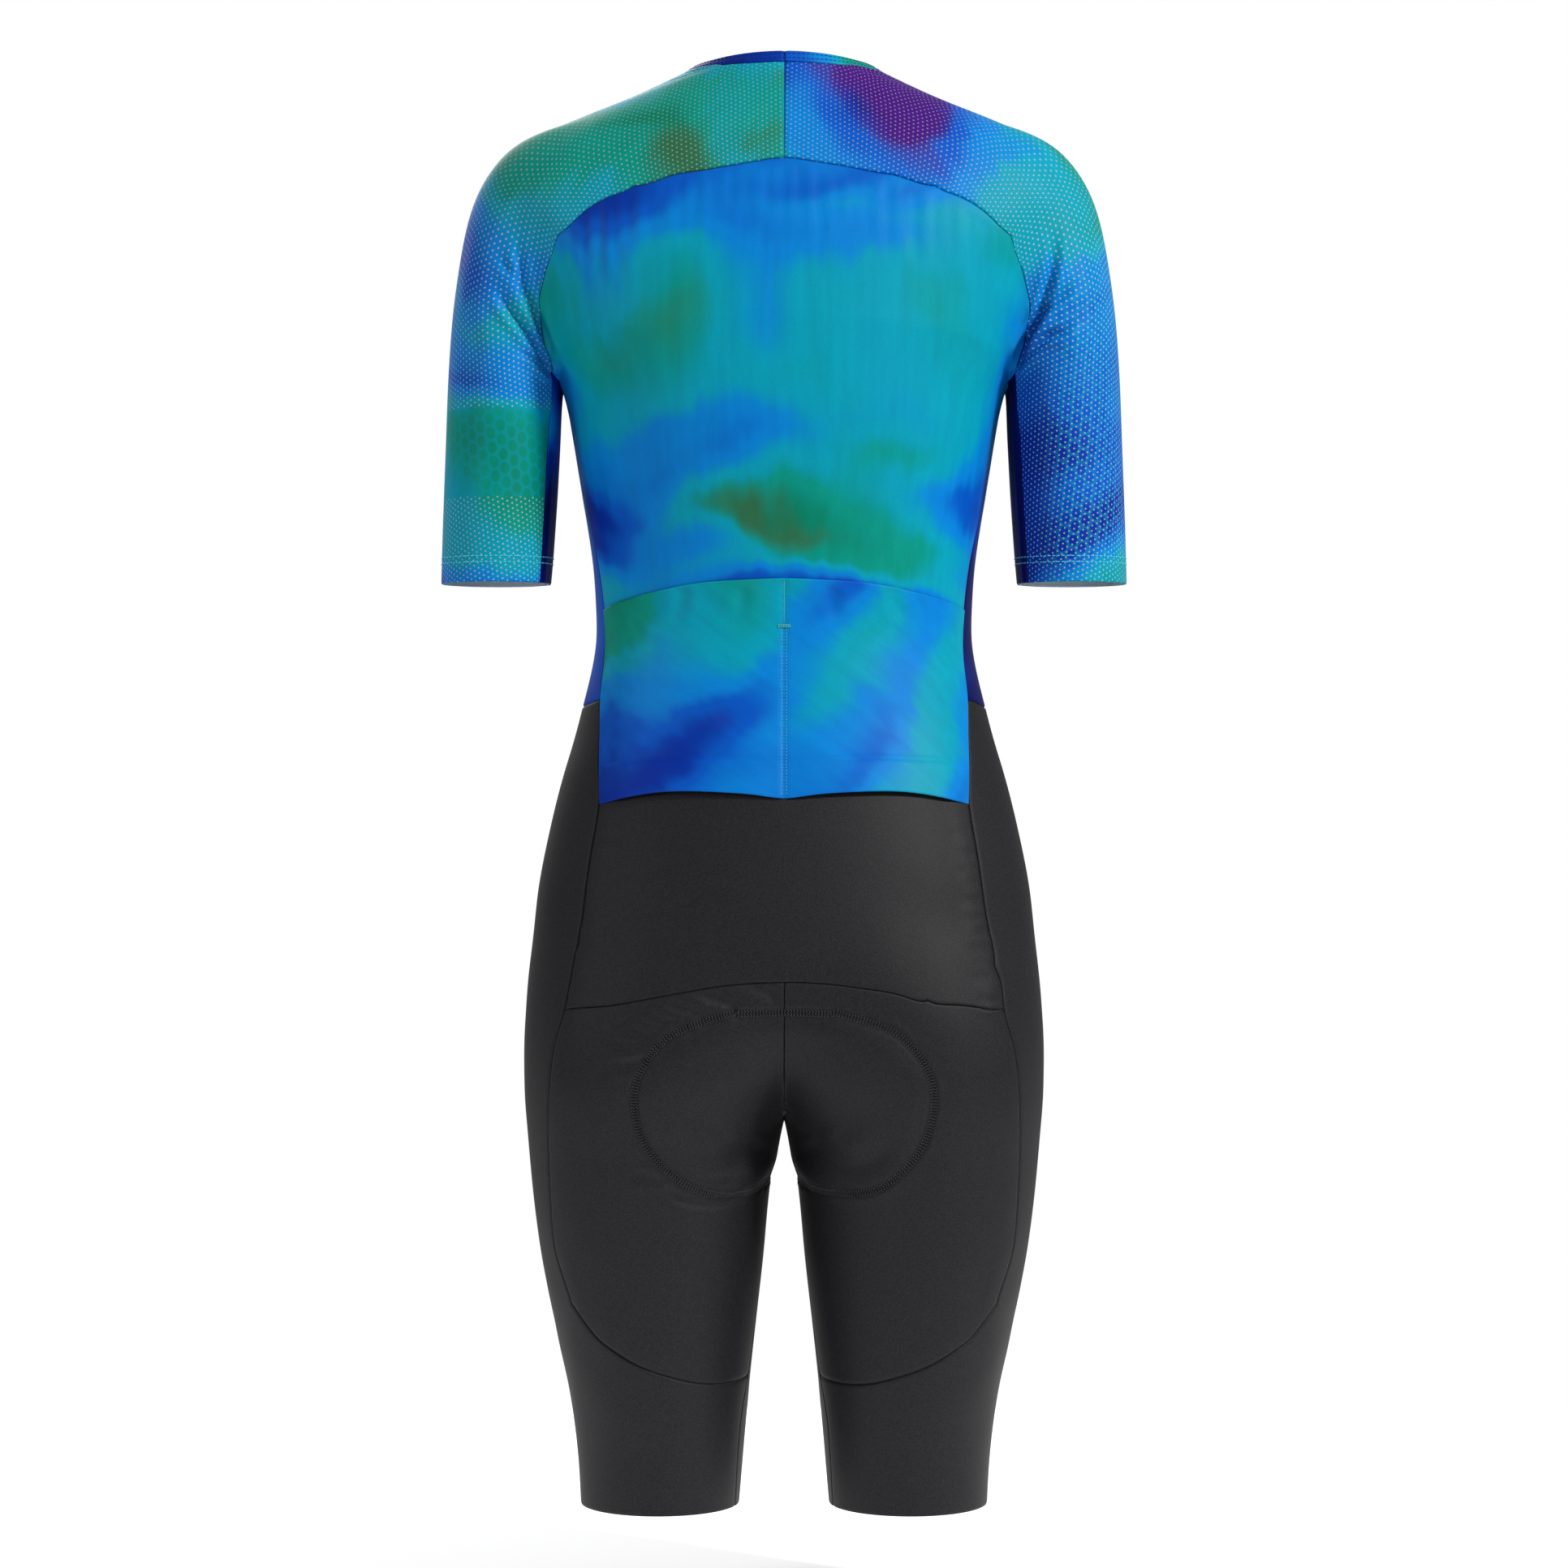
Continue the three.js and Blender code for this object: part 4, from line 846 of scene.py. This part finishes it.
# %% [markdown]
# ## Materials
# The top is printed knit. A real print of this sort is a marbled blend of sea colours, so ours is
# made of warped noise: coarse and fine noises bend the space, one more, drawn out along a slope,
# gives the flow, and a colour ramp turns the flow into colours. It is this suit's own print and
# repeats nobody's. Panels are cut from different places of the printed cloth, so each has its own
# shift and turn. The yoke and sleeves are knitted with small open dots, and the shorts are fine
# black knit.

# %% Node helpers
def linear(red, green, blue):
    """A colour in the 0 to 255 steps of a paint chart, as the linear light that shaders use."""
    parts = (red / 255, green / 255, blue / 255)
    return (*(c / 12.92 if c < 0.04 else ((c + 0.055) / 1.055) ** 2.4 for c in parts), 1)


def node(tree, kind, inputs=None, **settings):
    """Adds a node. Its inputs are values, or outputs of other nodes."""
    made = tree.nodes.new("ShaderNode" + kind)
    for name, value in settings.items():
        setattr(made, name, value)
    for name, value in (inputs or {}).items():
        if isinstance(value, bpy.types.NodeSocket):
            tree.links.new(value, made.inputs[name])
        else:
            made.inputs[name].default_value = value
    return made


def blend(tree, factor, below, above, mode="MIX"):
    inputs = {0: factor, 6: below, 7: above}
    return node(tree, "Mix", inputs, data_type="RGBA", blend_type=mode).outputs[2]


def calculate(tree, operation, *values):
    return node(tree, "Math", dict(enumerate(values)), operation=operation).outputs[0]


def times(tree, one, other):
    return calculate(tree, "MULTIPLY", one, other)


def vector(tree, operation, *values):
    return node(tree, "VectorMath", dict(enumerate(values)), operation=operation).outputs[0]


def mapping(tree, where, **settings):
    return node(tree, "Mapping", {"Vector": where, **settings}).outputs[0]


def object_place(tree):
    return node(tree, "TexCoord").outputs["Object"]


def between(tree, share, low, high):
    """low where share is 0, and high where it is 1."""
    return node(tree, "MapRange", {"Value": share, "To Min": low, "To Max": high}).outputs[0]


def rise(tree, value, low, high):
    """0 below low, 1 above high, and smooth between them."""
    limits = {"Value": value, "From Min": low, "From Max": high}
    return node(tree, "MapRange", limits, interpolation_type="SMOOTHSTEP").outputs[0]


def noise(tree, where, scale, detail=1.0):
    return node(tree, "TexNoise", {"Vector": where, "Scale": scale, "Detail": detail})


def ramp(tree, value, stops, interpolation="EASE"):
    made = node(tree, "ValToRGB", {"Fac": value})
    made.color_ramp.interpolation = interpolation
    for (place, colour), stop in zip(stops, [*made.color_ramp.elements, *[None] * len(stops)]):
        stop = stop or made.color_ramp.elements.new(place)
        stop.position, stop.color = place, colour
    return made.outputs[0]


def fabric(name, roughness, sheen, specular=0.09):
    """A new material with a fabric's shader, its tree and its shader node."""
    material = bpy.data.materials.new(name)
    material.use_nodes = True
    shader = material.node_tree.nodes["Principled BSDF"]
    shader.inputs["Roughness"].default_value = roughness
    shader.inputs["Sheen Weight"].default_value = sheen
    shader.inputs["Sheen Roughness"].default_value = 0.45
    shader.inputs["Specular IOR Level"].default_value = specular
    return material, material.node_tree, shader


def bump(tree, height, depth, strength=1.0):
    return node(tree, "Bump", {"Height": height, "Distance": depth, "Strength": strength}).outputs[0]


def dress(tree, shader, colour, relief):
    """Gives a shader its colour and its relief."""
    tree.links.new(colour, shader.inputs["Base Color"])
    tree.links.new(relief, shader.inputs["Normal"])


# %% Marbled print
GREEN, TEAL, TURQUOISE = linear(0, 118, 88), linear(0, 142, 126), linear(0, 150, 176)
AZURE, BLUE, ROYAL = linear(0, 124, 204), linear(0, 82, 186), linear(0, 44, 150)
NAVY, PURPLE, OLIVE = linear(2, 10, 82), linear(66, 14, 118), linear(44, 104, 70)
SEA = [
    (0.27, GREEN), (0.37, TEAL), (0.43, TURQUOISE), (0.50, AZURE),
    (0.57, BLUE), (0.64, ROYAL), (0.72, NAVY),
]


def marbled(tree, shift, turn, tone=0.0):
    """The print's colour. shift and turn choose the place on the printed cloth, and tone leans it
    to the green end (below 0) or to the dark blue end (above 0)."""
    where = mapping(tree, object_place(tree), Location=shift, Rotation=(0, turn, 0))
    streak = mapping(tree, where, Scale=(150, 150, 9))
    drip = mapping(tree, where, Scale=(85, 85, 5))
    warps = (
        (where, 4.0, (0.28,) * 3), (where, 11, (0.07,) * 3), (where, 38, (0.006,) * 3),
        (drip, 1.0, (0, 0, 0.018)),
    )
    for place, scale, reach in warps:
        sway = noise(tree, place, scale).outputs["Color"]
        where = vector(tree, "MULTIPLY_ADD", sway, reach, where)
    drawn = mapping(tree, where, Rotation=(0, 0.6, 0), Scale=(2.8, 2.8, 8.0))
    flow = calculate(tree, "ADD", noise(tree, drawn, 1.0, 1.9).outputs["Fac"], tone)
    colour = ramp(tree, flow, SEA)
    patch = noise(tree, where, 8.0).outputs["Fac"]
    flare = times(tree, rise(tree, patch, 0.58, 0.68), rise(tree, flow, 0.52, 0.62))
    moss = times(tree, rise(tree, patch, 0.44, 0.34), rise(tree, flow, 0.42, 0.32))
    colour = blend(tree, flare, colour, PURPLE)
    colour = blend(tree, moss, colour, OLIVE)
    shade = between(tree, noise(tree, streak, 1.0, 2.0).outputs["Fac"], 0.86, 1.12)
    return blend(tree, 1.0, colour, shade, "MULTIPLY")


# %% Knit textures
def lattice(tree, width, height, drop=1.0):
    """The distance in metres to the nearest point of a lattice of columns set half a step apart.
    drop below 1 draws the round places out in height."""
    flat = node(tree, "UVMap", uv_map="cut").outputs[0]
    cell = (2 * width, height, 1)
    flat = vector(tree, "DIVIDE", flat, cell)
    distances = []
    for start in (0, 0.5):
        part = vector(tree, "FRACTION", vector(tree, "ADD", flat, (start, start, 0)))
        part = vector(tree, "SUBTRACT", part, (0.5, 0.5, 0))
        part = vector(tree, "MULTIPLY", part, (cell[0], cell[1] * drop, 0))
        distances.append(node(tree, "VectorMath", {0: part}, operation="LENGTH").outputs["Value"])
    return calculate(tree, "MINIMUM", *distances)


def knit_grain(tree):
    """The height of fine knitted loops, too small to see one by one."""
    return noise(tree, object_place(tree), 1100, 2.0).outputs["Fac"]


# %% Printed knits
def printed_knit(name, shift, turn, tone=0.0):
    material, tree, shader = fabric(name, 0.5, 0.01)
    grain = knit_grain(tree)
    mottle = between(tree, grain, 0.9, 1.1)
    colour = blend(tree, 1.0, marbled(tree, shift, turn, tone), mottle, "MULTIPLY")
    dress(tree, shader, colour, bump(tree, grain, 0.00012, 0.6))
    return material


def open_knit(name, shift, turn, tone=0.0, band=None, net_from=None):
    """Printed knit with open dots. Inside band, a span of heights, the dots are closed and a net
    shows. net_from is the span of x over which a net fades in between open dots."""
    material, tree, shader = fabric(name, 0.55, 0.01)
    place = node(tree, "SeparateXYZ", {0: object_place(tree)}).outputs
    spots = lattice(tree, DOT_PITCH * math.sqrt(3) / 2, DOT_PITCH)
    dots = rise(tree, spots, DOT_RADIUS + DOT_EDGE, DOT_RADIUS - DOT_EDGE)
    netted = 0.0
    if band:
        above = calculate(tree, "GREATER_THAN", place["Z"], band[0])
        below = calculate(tree, "LESS_THAN", place["Z"], band[1])
        netted = times(tree, above, below)
        dots = times(tree, dots, calculate(tree, "SUBTRACT", 1.0, netted))
    if net_from:
        netted = rise(tree, place["X"], *net_from)
    net = lattice(tree, NET_WIDTH, NET_HEIGHT, NET_DROP)
    net = rise(tree, net, NET_WIDTH * 0.38, NET_WIDTH * 0.48)
    net = times(tree, times(tree, net, netted), NET_STRENGTH)
    colour = blend(tree, net, marbled(tree, shift, turn, tone), TURQUOISE)
    pale = between(tree, rise(tree, place["Z"], *PALER), *PALENESS)
    colour = blend(tree, times(tree, dots, pale), colour, DOT_COLOUR)
    pits = calculate(tree, "SUBTRACT", times(tree, knit_grain(tree), 0.3), dots)
    dress(tree, shader, colour, bump(tree, pits, 0.00025, 0.7))
    return material


DOT_PITCH, DOT_RADIUS, DOT_EDGE = 0.0036, 0.0006, 0.0002
DOT_COLOUR = linear(178, 194, 200)
PALER, PALENESS = (-0.02, -0.12), (0.34, 0.66)  # the dots grow paler down from the shoulders
NET_WIDTH, NET_HEIGHT, NET_DROP, NET_STRENGTH = 0.0068, 0.0096, 0.74, 0.34
SLEEVE_BAND, NET_FADE = (-0.271, -0.215), (-0.155, -0.185)
PRINTS = {
    # name, shift, turn and tone
    "back_panel": ("back print", (0.31, 0.0, 0.12), 0.0, 0.025),
    "pocket_panel": ("pocket print", (1.35, 0.2, 0.64), 2.2, -0.06),
    "front_left": ("left front print", (2.2, 0.5, 0.1), -0.6),
    "front_right": ("right front print", (3.4, 0.1, 0.9), 0.5),
    "side_left": ("left side print", (4.1, 0.8, 0.4), 1.3, 0.08),
    "side_right": ("right side print", (5.3, 0.2, 0.2), 2.6, 0.08),
    "underarm_left": ("left underarm print", (6.6, 0.9, 0.5), 0.9, 0.2),
    "underarm_right": ("right underarm print", (7.1, 0.4, 0.3), 1.9, 0.2),
    "collar_left": ("left neck band print", (8.4, 0.3, 0.8), 0.3, 0.12),
    "collar_right": ("right neck band print", (9.2, 0.6, 0.1), 1.1, 0.12),
}
printed = {panel: printed_knit(*row) for panel, row in PRINTS.items()}
printed["yoke_sleeve_left"] = open_knit("left sleeve knit", (10.5, 0.2, 0.3), 0.4, band=SLEEVE_BAND)
printed["yoke_sleeve_right"] = open_knit(
    "right sleeve knit", (11.8, 0.7, 0.6), -0.4, net_from=NET_FADE
)
print(len(printed), "printed knits")


# %% Black knit and insides
def black_knit():
    """Fine black knit, duller in the stitched band round the pad and darkened there with painted
    shade for the groove.
    """
    material, tree, shader = fabric("black knit", 0.6, 0.01, 0.26)
    grain = knit_grain(tree)
    cloudy = noise(tree, object_place(tree), 14, 3.0).outputs["Fac"]
    colour = blend(tree, cloudy, linear(9, 9, 13), linear(13, 14, 19))
    loops = blend(tree, 0.35, colour, linear(44, 44, 48))
    colour = blend(tree, rise(tree, grain, 0.35, 0.65), colour, loops)
    band = node(tree, "Attribute", attribute_name="band").outputs["Fac"]
    # painted shade: the colour is darkened along the groove round the pad, by the 'band' attribute
    colour = blend(tree, times(tree, band, 0.75), colour, linear(4, 4, 5))
    tree.links.new(between(tree, band, 0.6, 0.95), shader.inputs["Roughness"])
    dress(tree, shader, colour, bump(tree, grain, 0.00015, 0.7))
    return material


def plain_knit(name, colour, roughness=0.75, sheen=0.2):
    """Undyed or one-colour cloth with the same fine grain."""
    material, tree, shader = fabric(name, roughness, sheen)
    grain = knit_grain(tree)
    dyed = blend(tree, grain, linear(*[c * 0.88 for c in colour]), linear(*colour))
    dress(tree, shader, dyed, bump(tree, grain, 0.0002, 0.8))
    return material


black = black_knit()
pale_inside = plain_knit("pale inside of printed knit", (186, 204, 212))
black_inside = plain_knit("inside of black knit", (34, 34, 37))
for panel, piece in panels.items():
    faces = (printed[panel], pale_inside) if panel in printed else (black, black_inside)
    piece.data.materials.clear()
    for material in faces:
        piece.data.materials.append(material)
print(len(panels), "panels finished")

# %% [markdown]
# ## Seat pad
# The pad is a soft foam seat with a knitted cover, thick under the sit bones and thin at its rim.
# It is only a few millimetres thick at most, too thin for a cloth simulation at a sensible voxel
# size, so the CAD solid is copied, smoothed, and moulded: channels are pressed into the side that
# faces the wearer, where the foam is made to bend.

# %% Mould the pad
moulded = cad_copy("seat_pad")
pair_up(moulded, moulded.faces)
pad = object_from("seat_pad_foam", moulded)
pad.data.uv_layers.new(name="cut")
smooth_through(pad, 3)
at, out = points_of(pad.data), normals_of(pad.data)
CHANNELS = ((0, 1.1), (17, 0.7), (46, 0.8))  # place and depth, in millimetres
CHANNEL_WIDTH = 2.6
RIM_START, RIM_FADE, PAD_MIDDLE = 62, 26, 15
to_wearer = np.array([0, 0, -0.60]) - at
facing_in = smoothstep((out * to_wearer).sum(1) / np.linalg.norm(to_wearer, axis=1) / 0.5)
across = np.abs(at[:, 0]) * 1000
off_rim = 1 - smoothstep((np.abs(at[:, 1] * 1000 - PAD_MIDDLE) - RIM_START) / RIM_FADE)
for place, depth in CHANNELS:
    channel = depth / 1000 * np.exp(-(((across - place) / CHANNEL_WIDTH) ** 2))
    at -= out * (channel * facing_in * off_rim)[:, None]
pad.data.vertices.foreach_set("co", at.ravel())
shade_smooth(pad)
pad.data.materials.append(plain_knit("pad cover", (44, 46, 52), 0.85, 0.25))
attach(pad, "suit")
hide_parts("seat_pad")
print("pad:", len(pad.data.polygons), "faces")

# %% [markdown]
# ## Front zip
# Two woven tapes carry a row of teeth each, and the rows lock where the slider has closed them.
# Above the slider they stand a little apart. The tapes follow the CAD strip, which is felt for with
# rays from in front.

# %% Tapes
zip_tree = tree_of(frame["nodes"]["zip_tape"].data)
zip_low, zip_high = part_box("zip_tape")
slider_low, slider_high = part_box("zip_slider")
TAPE_EDGE, TAPE_INNER, TAPE_WALL = 0.0098, 0.0012, 0.0007
TAPE_END = 0.0006
PARTING = 0.0016
ZIP_MARGIN = 0.003


def zip_front(x, z):
    """The front face of the CAD strip at x and z."""
    inner = min(max(z, zip_low.z + ZIP_MARGIN), zip_high.z - ZIP_MARGIN)
    hit = zip_tree.ray_cast(Vector((x, -0.5, inner)), Vector((0, 1, 0)))[0]
    return hit + Vector((0, 0, z - inner))


def parted(z):
    """How far a row of teeth stands from the middle at a height: apart only above the slider."""
    top = slider_high.z - ZIP_MARGIN
    return PARTING * max(0.0, min(1.0, (z - top) / (zip_high.z - top)))


for side, name in ((1, "left"), (-1, "right")):
    tape = bmesh.new()
    bmesh.ops.create_grid(tape, x_segments=6, y_segments=150, size=0.5)
    for vertex in tape.verts:
        z = zip_low.z + TAPE_END + (vertex.co.y + 0.5) * (zip_high.z - zip_low.z - 2 * TAPE_END)
        x = side * (TAPE_INNER + parted(z) + (vertex.co.x + 0.5) * (TAPE_EDGE - TAPE_INNER))
        vertex.co = (x, zip_front(side * 0.006, z).y + 0.0001, z)
    piece = object_from(f"zip_tape_{name}", tape)
    flat_cut(piece)
    if piece.data.polygons[0].normal.y > 0:
        piece.data.flip_normals()
    wall = piece.modifiers.new("tape", "SOLIDIFY")
    wall.thickness, wall.offset = TAPE_WALL, -1
    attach(piece, "suit")
    stops = [zip_front(0, z) for z in np.linspace(zip_low.z, zip_high.z, 40)]
    length = sum((b - a).length for a, b in zip(stops, stops[1:]))
    width = TAPE_EDGE - TAPE_INNER
    panels[piece.name] = piece
    print(piece.name, round(length * 1000), "mm long")
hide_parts("zip_tape")
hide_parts("zip_tape")

# %% Teeth
TOOTH_PITCH, TOOTH_SIZE = 0.0015, (0.0034, 0.0015, 0.0009, 1)
TOOTH_REACH, TOOTH_RISE, TOOTH_BEVEL = 0.0009, 0.0007, 0.00018
STOP_SIZE = (0.0052, 0.0018, 0.0022, 1)
teeth = bmesh.new()
heights = np.arange(zip_low.z + 0.004, zip_high.z - 0.001, TOOTH_PITCH)
for number, z in enumerate(heights):
    if slider_low.z < z < slider_high.z:
        continue
    side = 1 if number % 2 else -1
    front, ahead = zip_front(0, z), zip_front(0, z + 0.002)
    up = (ahead - front).normalized()
    outwards = Vector((1, 0, 0)).cross(up)
    outwards *= -1 if outwards.y > 0 else 1
    place = front - outwards * TOOTH_RISE + Vector((side * (TOOTH_REACH + parted(z)), 0, 0))
    turn = Matrix((Vector((1, 0, 0)), outwards, up)).transposed().to_4x4()
    tooth = Matrix.Translation(place) @ turn @ Matrix.Diagonal(TOOTH_SIZE)
    bmesh.ops.create_cube(teeth, size=1, matrix=tooth)
bottom_stop = Matrix.Translation(zip_front(0, zip_low.z + 0.0016) + Vector((0, 0.0006, 0)))
bmesh.ops.create_cube(teeth, size=1, matrix=bottom_stop @ Matrix.Diagonal(STOP_SIZE))
bmesh.ops.bevel(
    teeth, geom=list(teeth.edges), offset=TOOTH_BEVEL, segments=1, profile=0.5, affect="EDGES",
    material=-1,
)
teeth = object_from("zip_teeth", teeth)
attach(teeth, "suit")
print(len(heights), "teeth")

# %% Slider and pull tab
for node_name, body_name in (("zip_slider", "suit"), ("zip_pull", "pull")):
    made = cad_copy(node_name)
    bmesh.ops.dissolve_limit(made, angle_limit=math.radians(2), verts=made.verts, edges=made.edges)
    piece = object_from(node_name + "_finished", made)
    shade_smooth(piece)
    edge = piece.modifiers.new("edge", "BEVEL")
    edge.width, edge.segments = 0.0002, 2
    edge.limit_method, edge.angle_limit = "ANGLE", math.radians(35)
    edge.harden_normals = True
    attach(piece, body_name)
    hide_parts(node_name)
    panels[node_name] = piece
    print(piece.name, len(piece.data.polygons), "faces")


# %% Zip finishes
def woven_tape():
    material, tree, shader = fabric("woven tape", 0.7, 0.15)
    flat = node(tree, "UVMap", uv_map="cut").outputs[0]
    threads = {"Vector": flat, "Scale": 190.0, "Distortion": 0.6, "Detail": 1.0}
    weave = node(tree, "TexWave", threads, bands_direction="Y")
    threads = weave.outputs["Fac"]
    colour = blend(tree, threads, linear(14, 44, 110), linear(24, 66, 148))
    dress(tree, shader, colour, bump(tree, threads, 0.00015, 0.6))
    return material


def dark_metal():
    material, tree, shader = fabric("dark metal", 0.34, 0.0, 0.5)
    shader.inputs["Metallic"].default_value = 0.85
    worn = noise(tree, object_place(tree), 900, 2.0).outputs["Fac"]
    colour = blend(tree, worn, linear(52, 54, 60), linear(92, 95, 102))
    dress(tree, shader, colour, bump(tree, worn, 0.00004, 0.5))
    return material


tape_cloth, metal = woven_tape(), dark_metal()
for name in ("zip_tape_left", "zip_tape_right"):
    panels[name].data.materials.append(tape_cloth)
for piece in (teeth, panels["zip_slider"], panels["zip_pull"]):
    piece.data.materials.clear()
    piece.data.materials.append(metal)
print("zip finished")

# %% [markdown]
# ## Stitches
# Rows of thread show at the cuffs, on the neck band, down the middle of the pockets and round the
# pad. Each stitch is a small long bead, laid along a path on the cloth, and all the rows of one
# place are one mesh.

# %% Lay stitches
THREAD_LIFT = 0.0001
PART_FULL = 800


def lay_stitches(row, path, tree, pitch, length, thick, lean=0.0, shift=0.0):
    """Adds stitches along a path of points. lean turns each one, and shift moves it aside. The row
    is a list of small bmeshes, because an operator takes longer the more a bmesh already holds."""
    steps = np.linalg.norm(np.diff(path, axis=0), axis=1)
    runs = np.r_[0, np.cumsum(steps)]
    for run in np.arange(pitch / 2, runs[-1], pitch):
        before, place, ahead = (
            Vector([np.interp(run + step, runs, path[:, i]) for i in range(3)])
            for step in (-pitch / 4, 0, pitch / 4)
        )
        place, normal = tree.find_nearest(place)[:2]
        along = (ahead - before).normalized()
        along = (along - normal * along.dot(normal)).normalized()
        beside = normal.cross(along)
        if shift:
            place = tree.find_nearest(place + beside * shift)[0]
        course = along * math.cos(lean) + beside * math.sin(lean)
        turn = Matrix((course, normal.cross(course), normal)).transposed().to_4x4()
        size = Matrix.Diagonal((length / 2, thick / 2, thick / 2, 1))
        matrix = Matrix.Translation(place + normal * THREAD_LIFT) @ turn @ size
        if not row or len(row[-1].verts) > PART_FULL:
            row.append(bmesh.new())
        bmesh.ops.create_uvsphere(row[-1], u_segments=6, v_segments=4, radius=1, matrix=matrix)


def thread_piece(name, row, material):
    piece = join([object_from(name, part) for part in row], name)
    shade_smooth(piece)
    piece.data.materials.append(material)
    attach(piece, "suit")
    print(f"{name}: {len(piece.data.polygons) // 24} stitches")
    return piece


def ring(tree, middle, height_at, turns):
    """Points where level rays from an upright axis meet the cloth."""
    path = []
    for turn in turns:
        start = Vector((middle[0], middle[1], height_at(turn)))
        hit = tree.ray_cast(start, Vector((math.sin(turn), math.cos(turn), 0)), 0.3)[0]
        if hit:
            path.append(hit)
    return np.array(path)


cyan_thread = plain_knit("cyan thread", (84, 222, 240), 0.6)
dark_thread = plain_knit("dark thread", (62, 63, 67), 0.5)
navy_thread = plain_knit("navy thread", (14, 20, 74), 0.6)
teal_thread = plain_knit("teal thread", (96, 206, 204), 0.6)

# %% Cuffs
CUFF_ROWS = (-0.3084, -0.3122)
CUFF_STITCH = (0.0031, 0.0026, 0.0007)  # pitch, length and thickness, as for the others below
SLEEVE_MIDDLE = (0.184, -0.004)
round_turn = np.linspace(0, 2 * math.pi, 90)
for side, name in ((1, "left"), (-1, "right")):
    row = []
    for height in CUFF_ROWS:
        middle = (side * SLEEVE_MIDDLE[0], SLEEVE_MIDDLE[1])
        lay_stitches(row, ring(cloth, middle, lambda turn: height, round_turn), cloth, *CUFF_STITCH)
    thread_piece(f"cuff_stitches_{name}", row, cyan_thread)

# %% Neck band
NECK_STITCH = (0.003, 0.0025, 0.0005)
NECK_ROWS = (0.24, 0.62)  # shares of the band's height, from its top
SLICES, FRONT_GAP = 60, 0.14
neck_points = np.vstack([points_of(panels[name].data) for name in ("collar_left", "collar_right")])
neck_turns = np.arctan2(neck_points[:, 0], neck_points[:, 1])
bins = np.linspace(-math.pi, math.pi, SLICES + 1)
which = np.minimum(np.digitize(neck_turns, bins), SLICES)
known = np.unique(which)
middles = (bins[known] + bins[known - 1]) / 2
slices = [neck_points[which == number, 2] for number in known]
foot, top = (np.array([edge(part) for part in slices]) for edge in (np.min, np.max))
turns = np.linspace(-math.pi + FRONT_GAP, math.pi - FRONT_GAP, 160)
row = []
for share in NECK_ROWS:
    heights = top * (1 - share) + foot * share
    path = ring(cloth, (0, 0), lambda turn: float(np.interp(turn, middles, heights)), turns)
    lay_stitches(row, path, cloth, *NECK_STITCH)
thread_piece("neck_stitches", row, navy_thread)

# %% Middle of the pockets
TOP_STITCH, TOP_RUN = (0.0011, 0.0009, 0.0006), (-0.3255, -0.3525)
TWIN_STITCH, TWIN_RUN, TWIN_APART = (0.0021, 0.0013, 0.0005), (-0.3555, -0.4600), 0.0015
BAR_STITCH, BAR_ROWS, BAR_HALF = (0.0008, 0.0006, 0.0013), (-0.3535, -0.3545), 0.004


def sew_pocket(row, places, stitch):
    """Lays stitches through places given by x and z on the pocket's outer face."""
    path = [pocket_tree.ray_cast(Vector((x, 0.5, z)), Vector((0, -1, 0)))[0] for x, z in places]
    lay_stitches(row, np.array([point for point in path if point]), pocket_tree, *stitch)


row = []
sew_pocket(row, [(0.0, z) for z in np.arange(*TOP_RUN, -0.002)], TOP_STITCH)
for x in (-TWIN_APART, TWIN_APART):
    sew_pocket(row, [(x, z) for z in np.arange(*TWIN_RUN, -0.002)], TWIN_STITCH)
for z in BAR_ROWS:
    sew_pocket(row, [(x, z) for x in (-BAR_HALF, 0, BAR_HALF)], BAR_STITCH)
thread_piece("pocket_stitches", row, teal_thread)

# %% Round the pad
PAD_STITCH = (0.0019, 0.0017, 0.0005)
row = []
for shift, lean in ((-0.0018, 0.7), (-0.0006, -0.7), (0.0006, 0.7), (0.0018, -0.7)):
    lay_stitches(row, pad_line, cloth, *PAD_STITCH, lean=lean, shift=shift)
thread_piece("pad_stitches", row, dark_thread)
